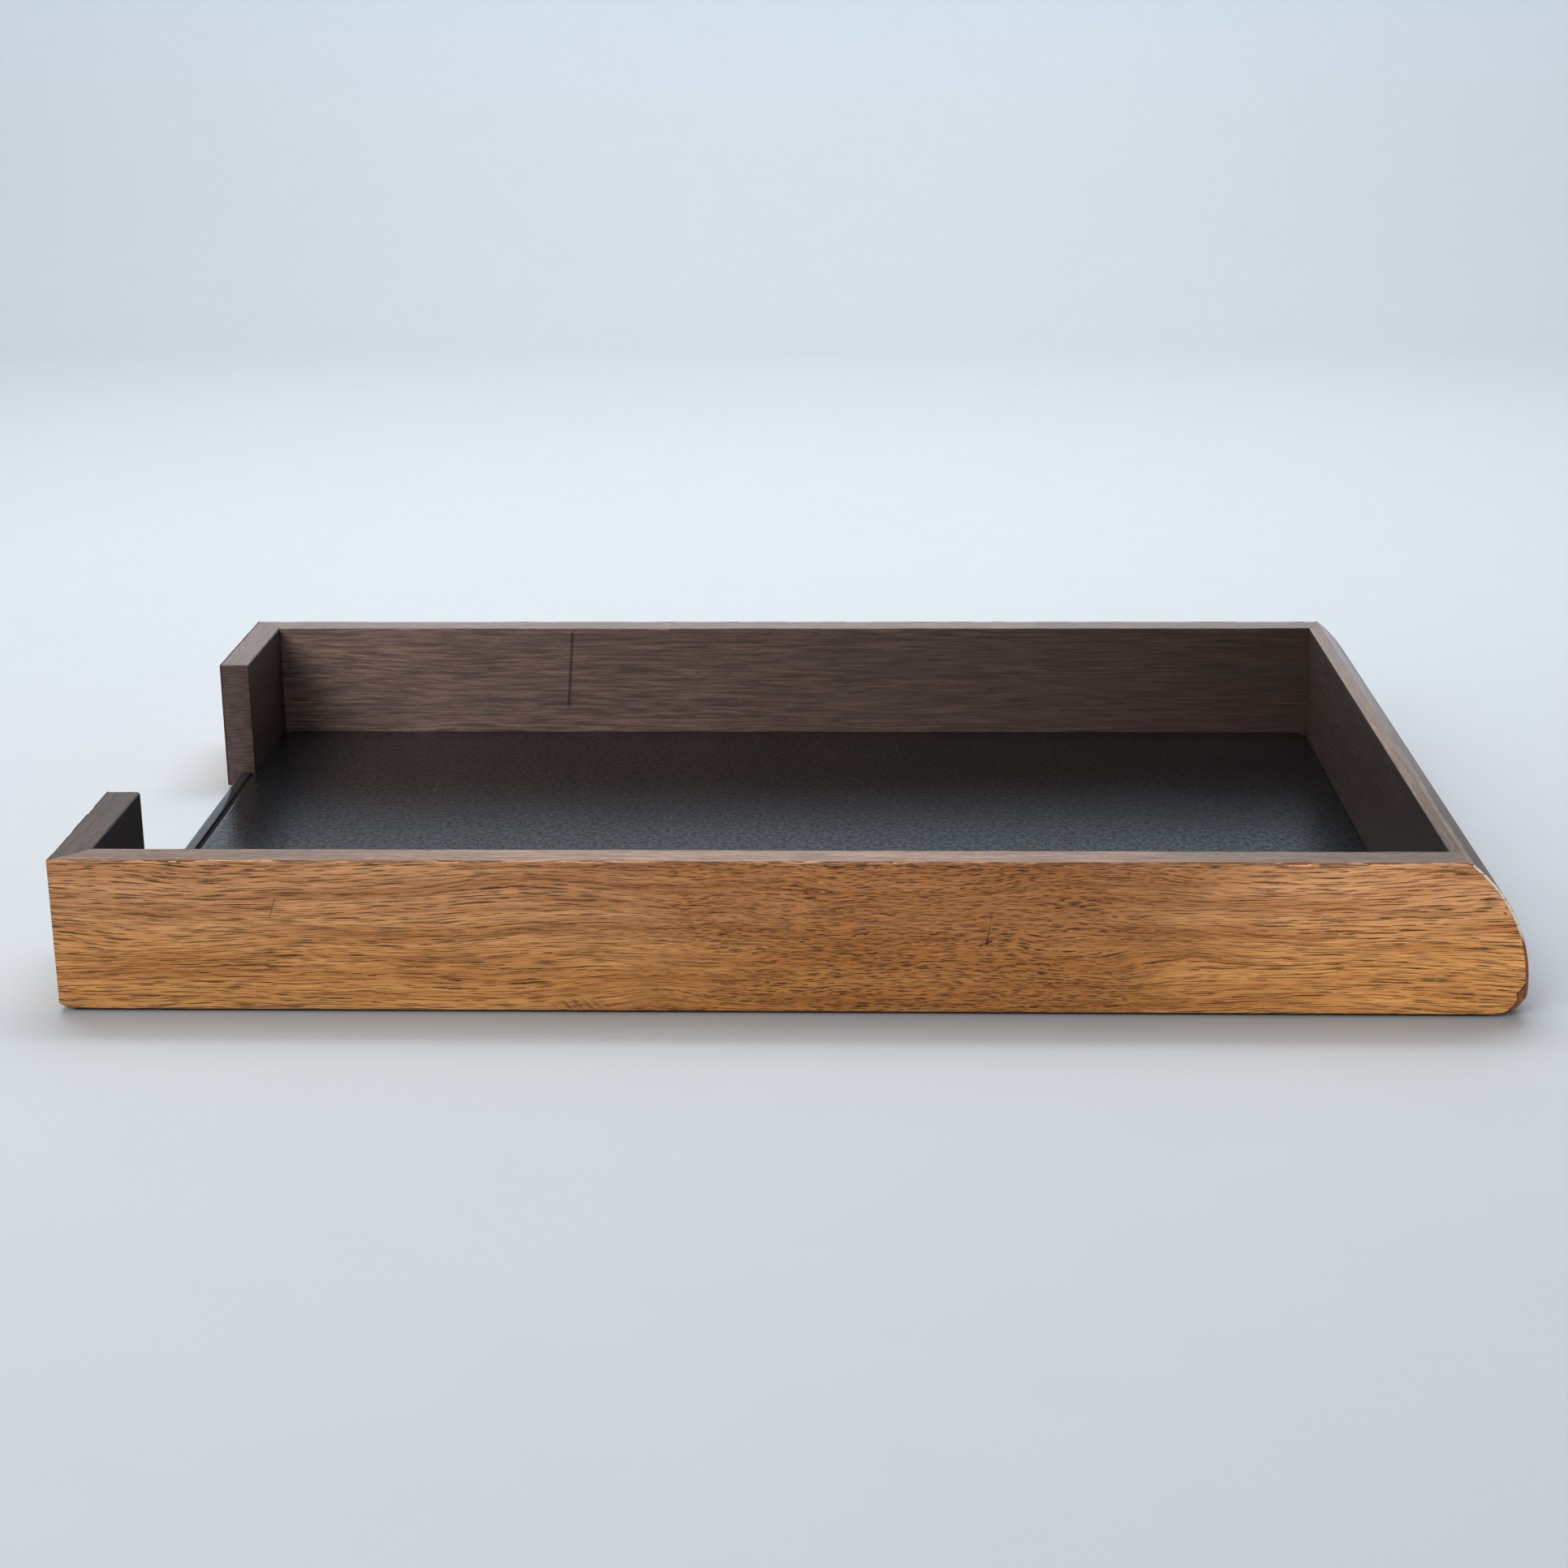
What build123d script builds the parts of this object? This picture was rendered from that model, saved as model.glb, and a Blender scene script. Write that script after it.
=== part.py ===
# Desk letter tray: a shallow wooden tray with a finger gap at the front and a rounded rear end.
#
# Frame, in millimetres: the origin is the centre of the footprint on the surface the tray stands on.
# +X runs from the front (the finger gap) to the rounded rear end, +Y from the near side rail to the
# far one, and +Z is up. The tray is the same on both sides of the plane Y = 0.

from build123d import *
import os
from math import acos, asin, degrees, sqrt

os.makedirs("parts", exist_ok=True)

# ---- driving sizes -------------------------------------------------------------------------------

TRAY_LENGTH = 383.0  # finished, over the front returns and the nose
TRAY_WIDTH = 254.0  # finished, over both face veneers
WALL_HEIGHT = 41.3  # the walls alone, without the felt under them
WALL_THICK = 9.525  # side rails and front returns, face veneer included
END_BLOCK_FOOT = 20.5  # rear end block at its widest, veneer included

FACE_VENEER = 0.7  # on the outer faces of the rails and returns
NOSE_VENEER = 0.6  # bent over the rounded end
FELT_THICK = 1.0
BOARD_THICK = 3.6
LINER_THICK = 0.9

NOSE_RADIUS = 42.0  # the big curve of the rear end, seen from the side
NOSE_CENTRE_HEIGHT = 8.1  # its centre above the bottom of the walls
HEEL_RADIUS = 7.0  # the small curve back to the bottom

RETURN_LENGTH = 58.5  # front returns, from the outer corner to the finger gap
RETURN_EASE = 0.6  # rounding of a return's free inner edge
SILL_WIDTH = 3.2
SILL_EASE = 0.5

REBATE_DEPTH = WALL_THICK / 2  # the board is let into the walls by this much
BOARD_GAP = 0.15  # clearance of the board in its rebate
LINER_GAP = 0.2  # between the liner and the walls
LINER_CORNER = 4.5
FELT_INSET = 1.5
FELT_CORNER = 3.0

SPLINE_THICK = 2.4
SPLINE_WIDTH = 7.0  # half of it in each side of the mitre
SPLINE_SETBACK = 7.5  # its centre, measured along the mitre from the outer corner
SPLINE_STOP = 6.0  # it stops this far below the top, so it never shows
SPLINE_START = 2.0  # and this far above the rebate

DOWEL_RADIUS = 3.0
DOWEL_LENGTH = 24.0
DOWEL_IN_RAIL = 5.5
DOWEL_HEIGHTS = (13.0, 28.0)  # above the bottom of the walls
DOWEL_SETBACK = 7.5  # behind the end block's inner face

PIN_RADIUS = 0.6
PIN_LENGTH = 12.0
PIN_HEAD_RADIUS = 1.1
PIN_HEAD_THICK = 0.8
RAIL_PINS = 6
RAIL_PIN_PITCH = 65.0
END_PINS = 3
END_PIN_PITCH = 80.0
RETURN_PIN_SETBACKS = (20.0, 45.0)  # from the outer corner along each return

# ---- planes and edges worked out from them -------------------------------------------------------

front_x = -TRAY_LENGTH / 2
nose_x = TRAY_LENGTH / 2
side_y = TRAY_WIDTH / 2
wall_bottom = FELT_THICK
wall_top = wall_bottom + WALL_HEIGHT
rebate_top = wall_bottom + BOARD_THICK
floor_top = rebate_top + LINER_THICK

inner_front_x = front_x + WALL_THICK
inner_side_y = side_y - WALL_THICK
inner_end_x = nose_x - END_BLOCK_FOOT
return_end_y = side_y - RETURN_LENGTH

rebate_front_x = front_x + REBATE_DEPTH
rebate_side_y = inner_side_y + REBATE_DEPTH
rebate_end_x = inner_end_x + REBATE_DEPTH

nose_centre_x = nose_x - NOSE_RADIUS
nose_centre_z = wall_bottom + NOSE_CENTRE_HEIGHT
heel_centre_x = nose_x - HEEL_RADIUS
heel_centre_z = wall_bottom + HEEL_RADIUS

spline_bottom = rebate_top + SPLINE_START
spline_height = wall_top - SPLINE_STOP - spline_bottom

near_corner = Plane(origin=(front_x, -side_y, 0), z_dir=(1, -1, 0))  # the mitre, facing the rail


def nose_top_x(skin):
    """Where the nose curve, set in by skin, meets the top of the walls."""
    rise = wall_top - nose_centre_z
    return nose_centre_x + sqrt((NOSE_RADIUS - skin) ** 2 - rise**2)


def nose_arc(skin):
    """The big curve from the top of the walls down to its widest point, set in by skin."""
    radius = NOSE_RADIUS - skin
    top_angle = degrees(asin((wall_top - nose_centre_z) / radius))
    return CenterArc((nose_centre_x, nose_centre_z), radius, top_angle, -top_angle)


def heel_angle(skin):
    """How far below level the heel curve passes a vertical line set in by skin."""
    return degrees(acos((HEEL_RADIUS - skin) / HEEL_RADIUS))


def wall_face(plane, back_x, skin):
    """Side view of a wall that ends in the nose, set in by skin above the heel."""
    with BuildSketch(plane) as face:
        with BuildLine():
            nose = nose_arc(skin)
            heel = CenterArc((heel_centre_x, heel_centre_z), HEEL_RADIUS, -90, 90 - heel_angle(skin))
            Line(heel @ 1, nose @ 1)
            Polyline(nose @ 0, (back_x, wall_top), (back_x, wall_bottom), heel @ 0)
        make_face()
    return face.sketch


def return_face(outer_x, inner_x):
    """Plan of a near front board, mitred at the corner and square at the finger gap."""
    mitre_offset = -side_y - front_x
    with BuildSketch(Plane.XY.offset(wall_bottom)) as face:
        with BuildLine():
            mitre = Line((outer_x, outer_x + mitre_offset), (inner_x, inner_x + mitre_offset))
            Polyline(mitre @ 1, (inner_x, -return_end_y), (outer_x, -return_end_y), mitre @ 0)
        make_face()
    return face.sketch


def rebate_face():
    """Plan of the space let out of the bottom of every wall for the base board."""
    with BuildSketch(Plane.XY.offset(wall_bottom)) as face:
        with Locations(((rebate_front_x + rebate_end_x) / 2, 0)):
            Rectangle(rebate_end_x - rebate_front_x, 2 * rebate_side_y)
    return face.sketch


def spline_face():
    """Plan of the near corner's spline, square across the mitre."""
    along = SPLINE_SETBACK / sqrt(2)
    with BuildSketch(Plane.XY.offset(spline_bottom)) as face:
        with Locations(Location((front_x + along, -side_y + along, 0), (0, 0, 45))):
            Rectangle(SPLINE_THICK, SPLINE_WIDTH)
    return face.sketch


def dowel_faces():
    """Outer ends of the near pair of dowels, inside the rail."""
    with BuildSketch(Plane.XZ.offset(inner_side_y + DOWEL_IN_RAIL)) as faces:
        with Locations(*[(inner_end_x + DOWEL_SETBACK, wall_bottom + height) for height in DOWEL_HEIGHTS]):
            Circle(DOWEL_RADIUS)
    return faces.sketch


def pin_places():
    """Every panel pin, in plan: both rails, the end block and the two returns."""
    pin_line_y = (inner_side_y + rebate_side_y) / 2
    pin_line_front = (inner_front_x + rebate_front_x) / 2
    pin_line_end = (inner_end_x + rebate_end_x) / 2
    middle_x = (inner_front_x + inner_end_x) / 2
    places = []
    for number in range(RAIL_PINS):
        x = middle_x + (number - (RAIL_PINS - 1) / 2) * RAIL_PIN_PITCH
        places += [(x, -pin_line_y), (x, pin_line_y)]
    for number in range(END_PINS):
        places.append((pin_line_end, (number - (END_PINS - 1) / 2) * END_PIN_PITCH))
    for setback in RETURN_PIN_SETBACKS:
        places += [(pin_line_front, setback - side_y), (pin_line_front, side_y - setback)]
    return places


def pin_faces(radius):
    """Circles of one radius at every panel pin, on the underside of the board."""
    with BuildSketch(Plane.XY.offset(wall_bottom)) as faces:
        with Locations(*pin_places()):
            Circle(radius)
    return faces.sketch


def keep_piece(builder, node):
    """Label a finished piece and write its file."""
    builder.part.label = node
    export_step(builder.part, f"parts/{node}.step")


def keep_pair(builder, piece):
    """Write a near piece and its mirror image on the far side."""
    keep_piece(builder, f"near_{piece}")
    with BuildPart() as far_piece:
        mirror(builder.part, about=Plane.XZ)
    keep_piece(far_piece, f"far_{piece}")


# ---- side rails: the long walls ------------------------------------------------------------------

with BuildPart() as side_rail:
    inner_face = Plane.XZ.offset(inner_side_y)
    extrude(wall_face(inner_face, front_x, NOSE_VENEER), amount=WALL_THICK - FACE_VENEER)
    split(bisect_by=near_corner)
    extrude(rebate_face(), amount=BOARD_THICK, mode=Mode.SUBTRACT)
    extrude(spline_face(), amount=spline_height, mode=Mode.SUBTRACT)
    extrude(dowel_faces(), amount=-DOWEL_LENGTH, mode=Mode.SUBTRACT)
    extrude(pin_faces(PIN_RADIUS), amount=PIN_LENGTH, mode=Mode.SUBTRACT)
keep_pair(side_rail, "side_rail")

with BuildPart() as side_veneer:
    veneer_back = Plane.XZ.offset(side_y - FACE_VENEER)
    extrude(wall_face(veneer_back, front_x, NOSE_VENEER), amount=FACE_VENEER)
    split(bisect_by=near_corner)
keep_pair(side_veneer, "side_veneer")

# ---- front returns: the short walls on each side of the finger gap -------------------------------

with BuildPart() as front_return:
    extrude(return_face(front_x + FACE_VENEER, inner_front_x), amount=WALL_HEIGHT)
    free_edges = front_return.edges().filter_by(Axis.Z).group_by(Axis.Y)[-1]
    fillet(free_edges.sort_by(Axis.X)[-1], RETURN_EASE)
    extrude(rebate_face(), amount=BOARD_THICK, mode=Mode.SUBTRACT)
    extrude(spline_face(), amount=spline_height, mode=Mode.SUBTRACT)
    extrude(pin_faces(PIN_RADIUS), amount=PIN_LENGTH, mode=Mode.SUBTRACT)
keep_pair(front_return, "front_return")

with BuildPart() as return_veneer:
    extrude(return_face(front_x, front_x + FACE_VENEER), amount=WALL_HEIGHT)
keep_pair(return_veneer, "return_veneer")

# ---- rounded end: a thick block between the rails, under a bent veneer ---------------------------

with BuildPart() as rounded_end_block:
    block_side = Plane.XZ.offset(inner_side_y)
    extrude(wall_face(block_side, inner_end_x, NOSE_VENEER), amount=-2 * inner_side_y)
    extrude(rebate_face(), amount=BOARD_THICK, mode=Mode.SUBTRACT)
    near_dowels = extrude(dowel_faces(), amount=-DOWEL_LENGTH, mode=Mode.SUBTRACT)
    mirror(near_dowels, about=Plane.XZ, mode=Mode.SUBTRACT)
    extrude(pin_faces(PIN_RADIUS), amount=PIN_LENGTH, mode=Mode.SUBTRACT)
keep_piece(rounded_end_block, "rounded_end_block")

# The veneer runs out to nothing where the heel was rounded over after it was laid.
with BuildPart() as rounded_end_veneer:
    with BuildSketch(Plane.XZ.offset(side_y)):
        with BuildLine():
            outer_nose = nose_arc(0)
            inner_nose = nose_arc(NOSE_VENEER)
            heel = CenterArc((heel_centre_x, heel_centre_z), HEEL_RADIUS, 0, -heel_angle(NOSE_VENEER))
            Line(outer_nose @ 1, heel @ 0)
            Line(heel @ 1, inner_nose @ 1)
            Line(inner_nose @ 0, outer_nose @ 0)
        make_face()
    extrude(amount=-TRAY_WIDTH)
keep_piece(rounded_end_veneer, "rounded_end_veneer")

# ---- floor: board in the rebate, liner on it, sill strip across the gap, felt underneath ---------

with BuildPart() as base_board:
    board_length = rebate_end_x - rebate_front_x - 2 * BOARD_GAP
    with BuildSketch(Plane.XY.offset(wall_bottom)):
        with Locations(((rebate_front_x + rebate_end_x) / 2, 0)):
            Rectangle(board_length, 2 * (rebate_side_y - BOARD_GAP))
        with Locations((rebate_front_x, 0)):
            Rectangle(2 * SILL_WIDTH, 2 * return_end_y, mode=Mode.SUBTRACT)
    extrude(amount=BOARD_THICK)
    extrude(pin_faces(PIN_RADIUS), amount=PIN_LENGTH, mode=Mode.SUBTRACT)
    extrude(pin_faces(PIN_HEAD_RADIUS), amount=PIN_HEAD_THICK, mode=Mode.SUBTRACT)
keep_piece(base_board, "base_board")

with BuildPart() as floor_liner:
    liner_length = inner_end_x - inner_front_x - 2 * LINER_GAP
    with BuildSketch(Plane.XY.offset(rebate_top)):
        with Locations(((inner_front_x + inner_end_x) / 2, 0)):
            RectangleRounded(liner_length, 2 * (inner_side_y - LINER_GAP), LINER_CORNER)
    extrude(amount=LINER_THICK)
keep_piece(floor_liner, "floor_liner")

with BuildPart() as sill_strip:
    with BuildSketch(Plane.XY.offset(wall_bottom)):
        with Locations((rebate_front_x + SILL_WIDTH / 2, 0)):
            Rectangle(SILL_WIDTH, 2 * return_end_y)
    extrude(amount=floor_top - wall_bottom)
    top_edges = sill_strip.edges().filter_by(Axis.Y).group_by(Axis.Z)[-1]
    fillet(top_edges.sort_by(Axis.X)[0], SILL_EASE)
keep_piece(sill_strip, "sill_strip")

with BuildPart() as base_felt:
    felt_front_x = front_x + FELT_INSET
    felt_end_x = heel_centre_x
    with BuildSketch(Plane.XY):
        with Locations(((felt_front_x + felt_end_x) / 2, 0)):
            RectangleRounded(felt_end_x - felt_front_x, 2 * (side_y - FELT_INSET), FELT_CORNER)
        with Locations((front_x, 0)):
            gap_length = 2 * (REBATE_DEPTH + FELT_INSET)
            Rectangle(gap_length, 2 * (return_end_y + FELT_INSET), mode=Mode.SUBTRACT)
    extrude(amount=FELT_THICK)
keep_piece(base_felt, "base_felt")

# ---- hidden fixings ------------------------------------------------------------------------------

with BuildPart() as mitre_spline:
    extrude(spline_face(), amount=spline_height)
keep_pair(mitre_spline, "mitre_spline")

with BuildPart() as end_dowels:
    extrude(dowel_faces(), amount=-DOWEL_LENGTH)
keep_pair(end_dowels, "end_dowels")

with BuildPart() as base_pins:
    extrude(pin_faces(PIN_RADIUS), amount=PIN_LENGTH)
    extrude(pin_faces(PIN_HEAD_RADIUS), amount=PIN_HEAD_THICK)
keep_piece(base_pins, "base_pins")
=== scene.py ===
# %% [markdown]
# # A wooden letter tray
#
# The tray is a shallow box of stained hardwood: two long rails, a thick rounded end, and two short
# returns that leave a gap for the fingers. Golden veneer faces the outside, a bent strip of dark
# veneer covers the rounded end, and a black grained liner lies on the floor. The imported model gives
# the size and the place of every piece. This notebook gives them their wear, their grain and their
# light.

# %% Load the fixed frame
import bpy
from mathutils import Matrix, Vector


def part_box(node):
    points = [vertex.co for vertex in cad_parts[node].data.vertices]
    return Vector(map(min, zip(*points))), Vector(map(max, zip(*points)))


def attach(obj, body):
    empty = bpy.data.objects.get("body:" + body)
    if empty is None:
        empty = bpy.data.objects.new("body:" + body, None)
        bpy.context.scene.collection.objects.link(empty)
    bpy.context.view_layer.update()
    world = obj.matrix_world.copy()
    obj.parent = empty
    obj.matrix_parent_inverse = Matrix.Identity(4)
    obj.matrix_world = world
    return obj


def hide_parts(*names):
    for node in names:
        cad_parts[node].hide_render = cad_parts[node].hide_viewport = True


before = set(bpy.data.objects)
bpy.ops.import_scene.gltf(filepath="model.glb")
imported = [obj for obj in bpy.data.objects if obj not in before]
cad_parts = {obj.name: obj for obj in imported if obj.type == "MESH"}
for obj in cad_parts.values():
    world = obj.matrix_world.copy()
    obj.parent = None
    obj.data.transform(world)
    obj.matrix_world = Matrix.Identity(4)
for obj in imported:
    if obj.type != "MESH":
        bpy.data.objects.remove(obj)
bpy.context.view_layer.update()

# %% Tools of this notebook
import math
import random

import bmesh
import bpy
from mathutils import Matrix, Vector, noise

MM = 0.001

# %% [markdown]
# ## Sizes read from the frame
#
# Each wall is described from its outer bottom corner, in millimetres: `u` runs along the wall, `v`
# up, and `w` into the wood from its outer face. The lengths come from the boxes of the packed
# pieces, so nothing here can drift away from them. Only the radii of the rounded end can't be read
# from a box.

# %% Read the sizes
def box_mm(node):
    """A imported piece's lowest and highest corners, in millimetres."""
    low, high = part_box(node)
    return Vector(low) / MM, Vector(high) / MM


_, rail_high = box_mm("near_side_rail")
skin_low, skin_high = box_mm("near_side_veneer")
_, return_high = box_mm("near_front_return")
block_low, block_high = box_mm("rounded_end_block")
nose_low, nose_high = box_mm("rounded_end_veneer")
board_low, board_high = box_mm("base_board")
liner_low, liner_high = box_mm("floor_liner")
sill_low, sill_high = box_mm("sill_strip")
felt_low, felt_high = box_mm("base_felt")

front_x = skin_low.x
nose_x = nose_high.x
side_y = -skin_low.y
wall_bottom = skin_low.z
wall_height = skin_high.z - skin_low.z
wall_thick = rail_high.y - skin_low.y
face_skin = skin_high.y - skin_low.y
nose_skin = nose_x - block_high.x
side_length = nose_x - front_x
return_length = return_high.y + side_y
block_foot = nose_x - block_low.x
board_thick = board_high.z - board_low.z
rebate_depth = wall_thick / 2

NOSE_RADIUS = 42.0
NOSE_CENTRE_HEIGHT = 8.1  # above the bottom of the walls
HEEL_RADIUS = 7.0
print(f"walls {side_length:.1f} x {2 * side_y:.1f} mm, {wall_height:.1f} high, {wall_thick:.2f} thick")

# %% [markdown]
# ## Shader maths written as sums
#
# A material is a graph of small nodes. Typing `1 - mask * 0.5` is easier to read than wiring Math
# nodes, so a small class wraps a socket: its operators add the Math nodes, and its one method adds
# any other node.

# %% Wrap a socket
class Wire:
    """One output in a node tree. Sums and products of wires add the Math nodes behind them."""

    def __init__(self, tree, socket):
        self.tree = tree
        self.socket = socket

    def node(self, kind, settings=None, sockets=None, out=0):
        """Add any node: its settings come first, then the values or wires of its sockets."""
        made = self.tree.nodes.new(kind)
        for key, value in (settings or {}).items():
            setattr(made, key, value)
        for key, value in (sockets or {}).items():
            if isinstance(value, Wire):
                self.tree.links.new(value.socket, made.inputs[key])
            else:
                made.inputs[key].default_value = value
        return Wire(self.tree, made.outputs[out])

    def parts(self):
        """The three numbers of a vector or a colour, as wires."""
        split = self.node("ShaderNodeSeparateXYZ", None, {0: self}).socket.node
        return [Wire(self.tree, split.outputs[axis]) for axis in range(3)]

    def math(self, operation, first, second):
        return self.node("ShaderNodeMath", {"operation": operation}, {0: first, 1: second})

    def __add__(self, other):
        return self.math("ADD", self, other)

    def __radd__(self, other):
        return self.math("ADD", other, self)

    def __sub__(self, other):
        return self.math("SUBTRACT", self, other)

    def __rsub__(self, other):
        return self.math("SUBTRACT", other, self)

    def __mul__(self, other):
        return self.math("MULTIPLY", self, other)

    def __truediv__(self, other):
        return self.math("DIVIDE", self, other)

    def __abs__(self):
        return self.math("ABSOLUTE", self, 0.0)


# %% Short names for the nodes used most
def step(value, low, high):
    """0 below low, 1 above high, and a smooth rise between them."""
    limits = {"Value": value, "From Min": low, "From Max": high}
    return value.node("ShaderNodeMapRange", {"interpolation_type": "SMOOTHSTEP"}, limits)


def bump_of(value, centre, half_width):
    """1 at centre, falling smoothly to 0 at half_width on each side."""
    return 1 - step(abs(value - centre), 0.0, half_width)


def mix(factor, low, high):
    """From one colour to another."""
    settings = {"data_type": "RGBA", "clamp_factor": True}
    return factor.node("ShaderNodeMix", settings, {0: factor, 6: paint(low), 7: paint(high)}, out=2)


def paint(colour):
    """A colour socket's value: three numbers get their alpha, and wires pass."""
    return colour if isinstance(colour, Wire) else (*colour, 1.0)


def tint(colour, value):
    """A colour made darker or lighter by a wire around 1."""
    grey = value.node("ShaderNodeCombineXYZ", None, {0: value, 1: value, 2: value})
    settings = {"data_type": "RGBA", "blend_type": "MULTIPLY"}
    return value.node("ShaderNodeMix", settings, {0: 1.0, 6: paint(colour), 7: grey}, out=2)


SEED_SHIFTS = (3.17, 1.31, 2.39)  # how far one step of a seed moves the noise along each axis


def cloud(u, v, w, stretch, seed, detail=2.0, rough=0.5):
    """Noise around 0.5 whose patches are stretch millimetres long, high and deep."""
    axes = enumerate(zip((u, v, w), stretch, SEED_SHIFTS))
    parts = {axis: place / size + seed * shift for axis, (place, size, shift) in axes}
    spot = u.node("ShaderNodeCombineXYZ", None, parts)
    sockets = {"Vector": spot, "Scale": 1.0, "Detail": detail, "Roughness": rough}
    return u.node("ShaderNodeTexNoise", None, sockets)


def new_material(name):
    """An empty material with its shader, and wires for the place on the object in millimetres."""
    material = bpy.data.materials.new(name)
    material.use_nodes = True
    tree = material.node_tree
    tree.nodes.clear()
    shader = tree.nodes.new("ShaderNodeBsdfPrincipled")
    output = tree.nodes.new("ShaderNodeOutputMaterial")
    tree.links.new(shader.outputs[0], output.inputs[0])
    where = tree.nodes.new("ShaderNodeTexCoord")
    x, y, z = (place / MM for place in Wire(tree, where.outputs["Object"]).parts())
    return material, shader, (x, y, z)


def connect(shader, **sockets):
    """Set the shader's sockets from numbers, colours or wires, named with underscores for spaces."""
    for key, value in sockets.items():
        target = shader.inputs[key.replace("_", " ")]
        if isinstance(value, Wire):
            value.tree.links.new(value.socket, target)
        else:
            target.default_value = value


def relief(height, depth_mm, strength=1.0):
    """A bump from a wire of heights between 0 and 1, depth_mm deep."""
    sockets = {"Height": height, "Distance": depth_mm * MM, "Strength": strength}
    return height.node("ShaderNodeBump", None, sockets)


def facing(wire, axis):
    """1 on faces that look along an axis, either way, and 0 on the others."""
    normal = wire.node("ShaderNodeNewGeometry", None, None, out=1)
    return step(abs(normal.parts()[axis]), 0.6, 0.9)


def stroke(u, v, start, end, half_width):
    """1 on a thin straight mark from start to end, in millimetres, and 0 away from it."""
    along = Vector(end) - Vector(start)
    du = u - start[0]
    dv = v - start[1]
    share = (du * along.x + dv * along.y) / along.length_squared
    share = share.math("MINIMUM", share.math("MAXIMUM", share, 0.0), 1.0)
    off_u = du - share * along.x
    off_v = dv - share * along.y
    return 1 - step(off_u.math("SQRT", off_u * off_u + off_v * off_v, 0.0), 0.0, half_width)


# %% [markdown]
# ## The golden face veneer
#
# The outside was faced with an open-grained veneer whose varnish has gone golden. Its character is
# in the pores: long wavy streaks towards both ends of a rail and short slanting dashes in the
# middle, where the knife cut through a swirl in the log. Each pore is one pointed dash in a cell of
# a random mosaic, so pores never line up and never overlap. Slow noise bends the height at which
# the mosaic is read, and that bends the grain. The pores are also dents, so they feed the bump.

# %% Draw pores and marks
SHEET_DEEP = 60.0  # the noise on a veneer is this deep, so it runs straight through the thin sheet
RAGGED_EDGE = (0.9, 0.25, 1.0)  # the length and height of the nicks in a pore's outline


def pores_in_cells(u, grain, cell, pore, seed, crowd=1.0):
    """One pointed pore in each cell of a random mosaic. cell is a cell's length and height, and pore
    is half the length and half the height of the biggest pore, all in millimetres."""
    across = u / cell[0] + seed * 3.7
    up = grain / cell[1] + seed * 1.9
    spot = u.node("ShaderNodeCombineXYZ", None, {0: across, 1: up})
    sockets = {"Vector": spot, "Scale": 1.0}
    seat = u.node("ShaderNodeTexVoronoi", {"voronoi_dimensions": "2D"}, sockets, out=2)
    seat_u, seat_v, _ = seat.parts()
    longer, thicker, darker = Wire(u.tree, seat.socket.node.outputs["Color"]).parts()
    off_u = (across - seat_u) * (cell[0] / pore[0]) / (0.50 + longer * 0.50)
    off_v = (up - seat_v) * (cell[1] / pore[1]) / ((0.45 + thicker * 0.55) * crowd)
    ragged = (cloud(u, grain, u * 0.0, RAGGED_EDGE, seed, 1.0) - 0.5) * 0.9
    return (1 - step(off_u * off_u + abs(off_v) + ragged, 0.48, 1.02)) * (0.58 + darker * 0.42)


PORE_KINDS = {  # a cell's length and height, then half the length and height of its biggest pore
    "long": ((14.0, 1.30), (8.4, 0.22)),
    "fill in": ((6.6, 0.92), (3.6, 0.17)),
    "dashes": ((5.4, 1.10), (3.0, 0.24)),
    "specks": ((3.2, 0.85), (1.65, 0.17)),
}


def open_pores(u, grain, middle, crowd, seed):
    """The veneer's pores: long ones, and short ones where middle is 1. They thicken with crowd."""
    long_pores, fill_in, dashes, specks = (
        pores_in_cells(u, grain, *sizes, seed + number, crowd)
        for number, sizes in enumerate(PORE_KINDS.values(), start=1)
    )
    short_pores = dashes.math("MAXIMUM", dashes.math("MAXIMUM", dashes, specks), long_pores * 0.6)
    long_pores = long_pores.math("MAXIMUM", long_pores, fill_in)
    return long_pores + (short_pores - long_pores) * middle


SCRATCH_BROWN = (0.030, 0.016, 0.012)
SCUFF_RED = (0.115, 0.035, 0.020)


def near_face_marks(ground, heights, place):
    """The near side's old scratches: a long one with a short foot, a fine upright one, a dot and a
    scuffed patch at the bottom. Their places are x and the height above the bottom of the wall."""
    x, y, z = place
    v = z - wall_bottom
    near = step(y * -1.0, 100.0, 110.0)
    long_one = stroke(x, v, (53.2, 27.4), (51.9, 18.6), 0.46) * (1 - step(v, 18.5, 26.5) * 0.6)
    foot = stroke(x, v, (50.2, 18.5), (53.2, 19.9), 0.52)
    upright = stroke(x, v, (-132.4, 31.0), (-134.2, 25.6), 0.30) * 0.7
    dot = stroke(x, v, (184.0, 28.0), (184.4, 27.8), 0.55)
    scuff = step(cloud(x + v * 1.2, v, y, (0.8, 2.6, SHEET_DEEP), 33.0, 1.0), 0.52, 0.60)
    scuff = scuff * bump_of(x, -54.0, 13.0) * bump_of(v, 1.8, 2.2)
    scratches = (long_one + foot + upright + dot) * near
    ground = mix(scratches * 0.8, ground, SCRATCH_BROWN)
    ground = mix(scuff * near * 0.9, ground, SCUFF_RED)
    return ground, heights - scratches * 0.6


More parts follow.
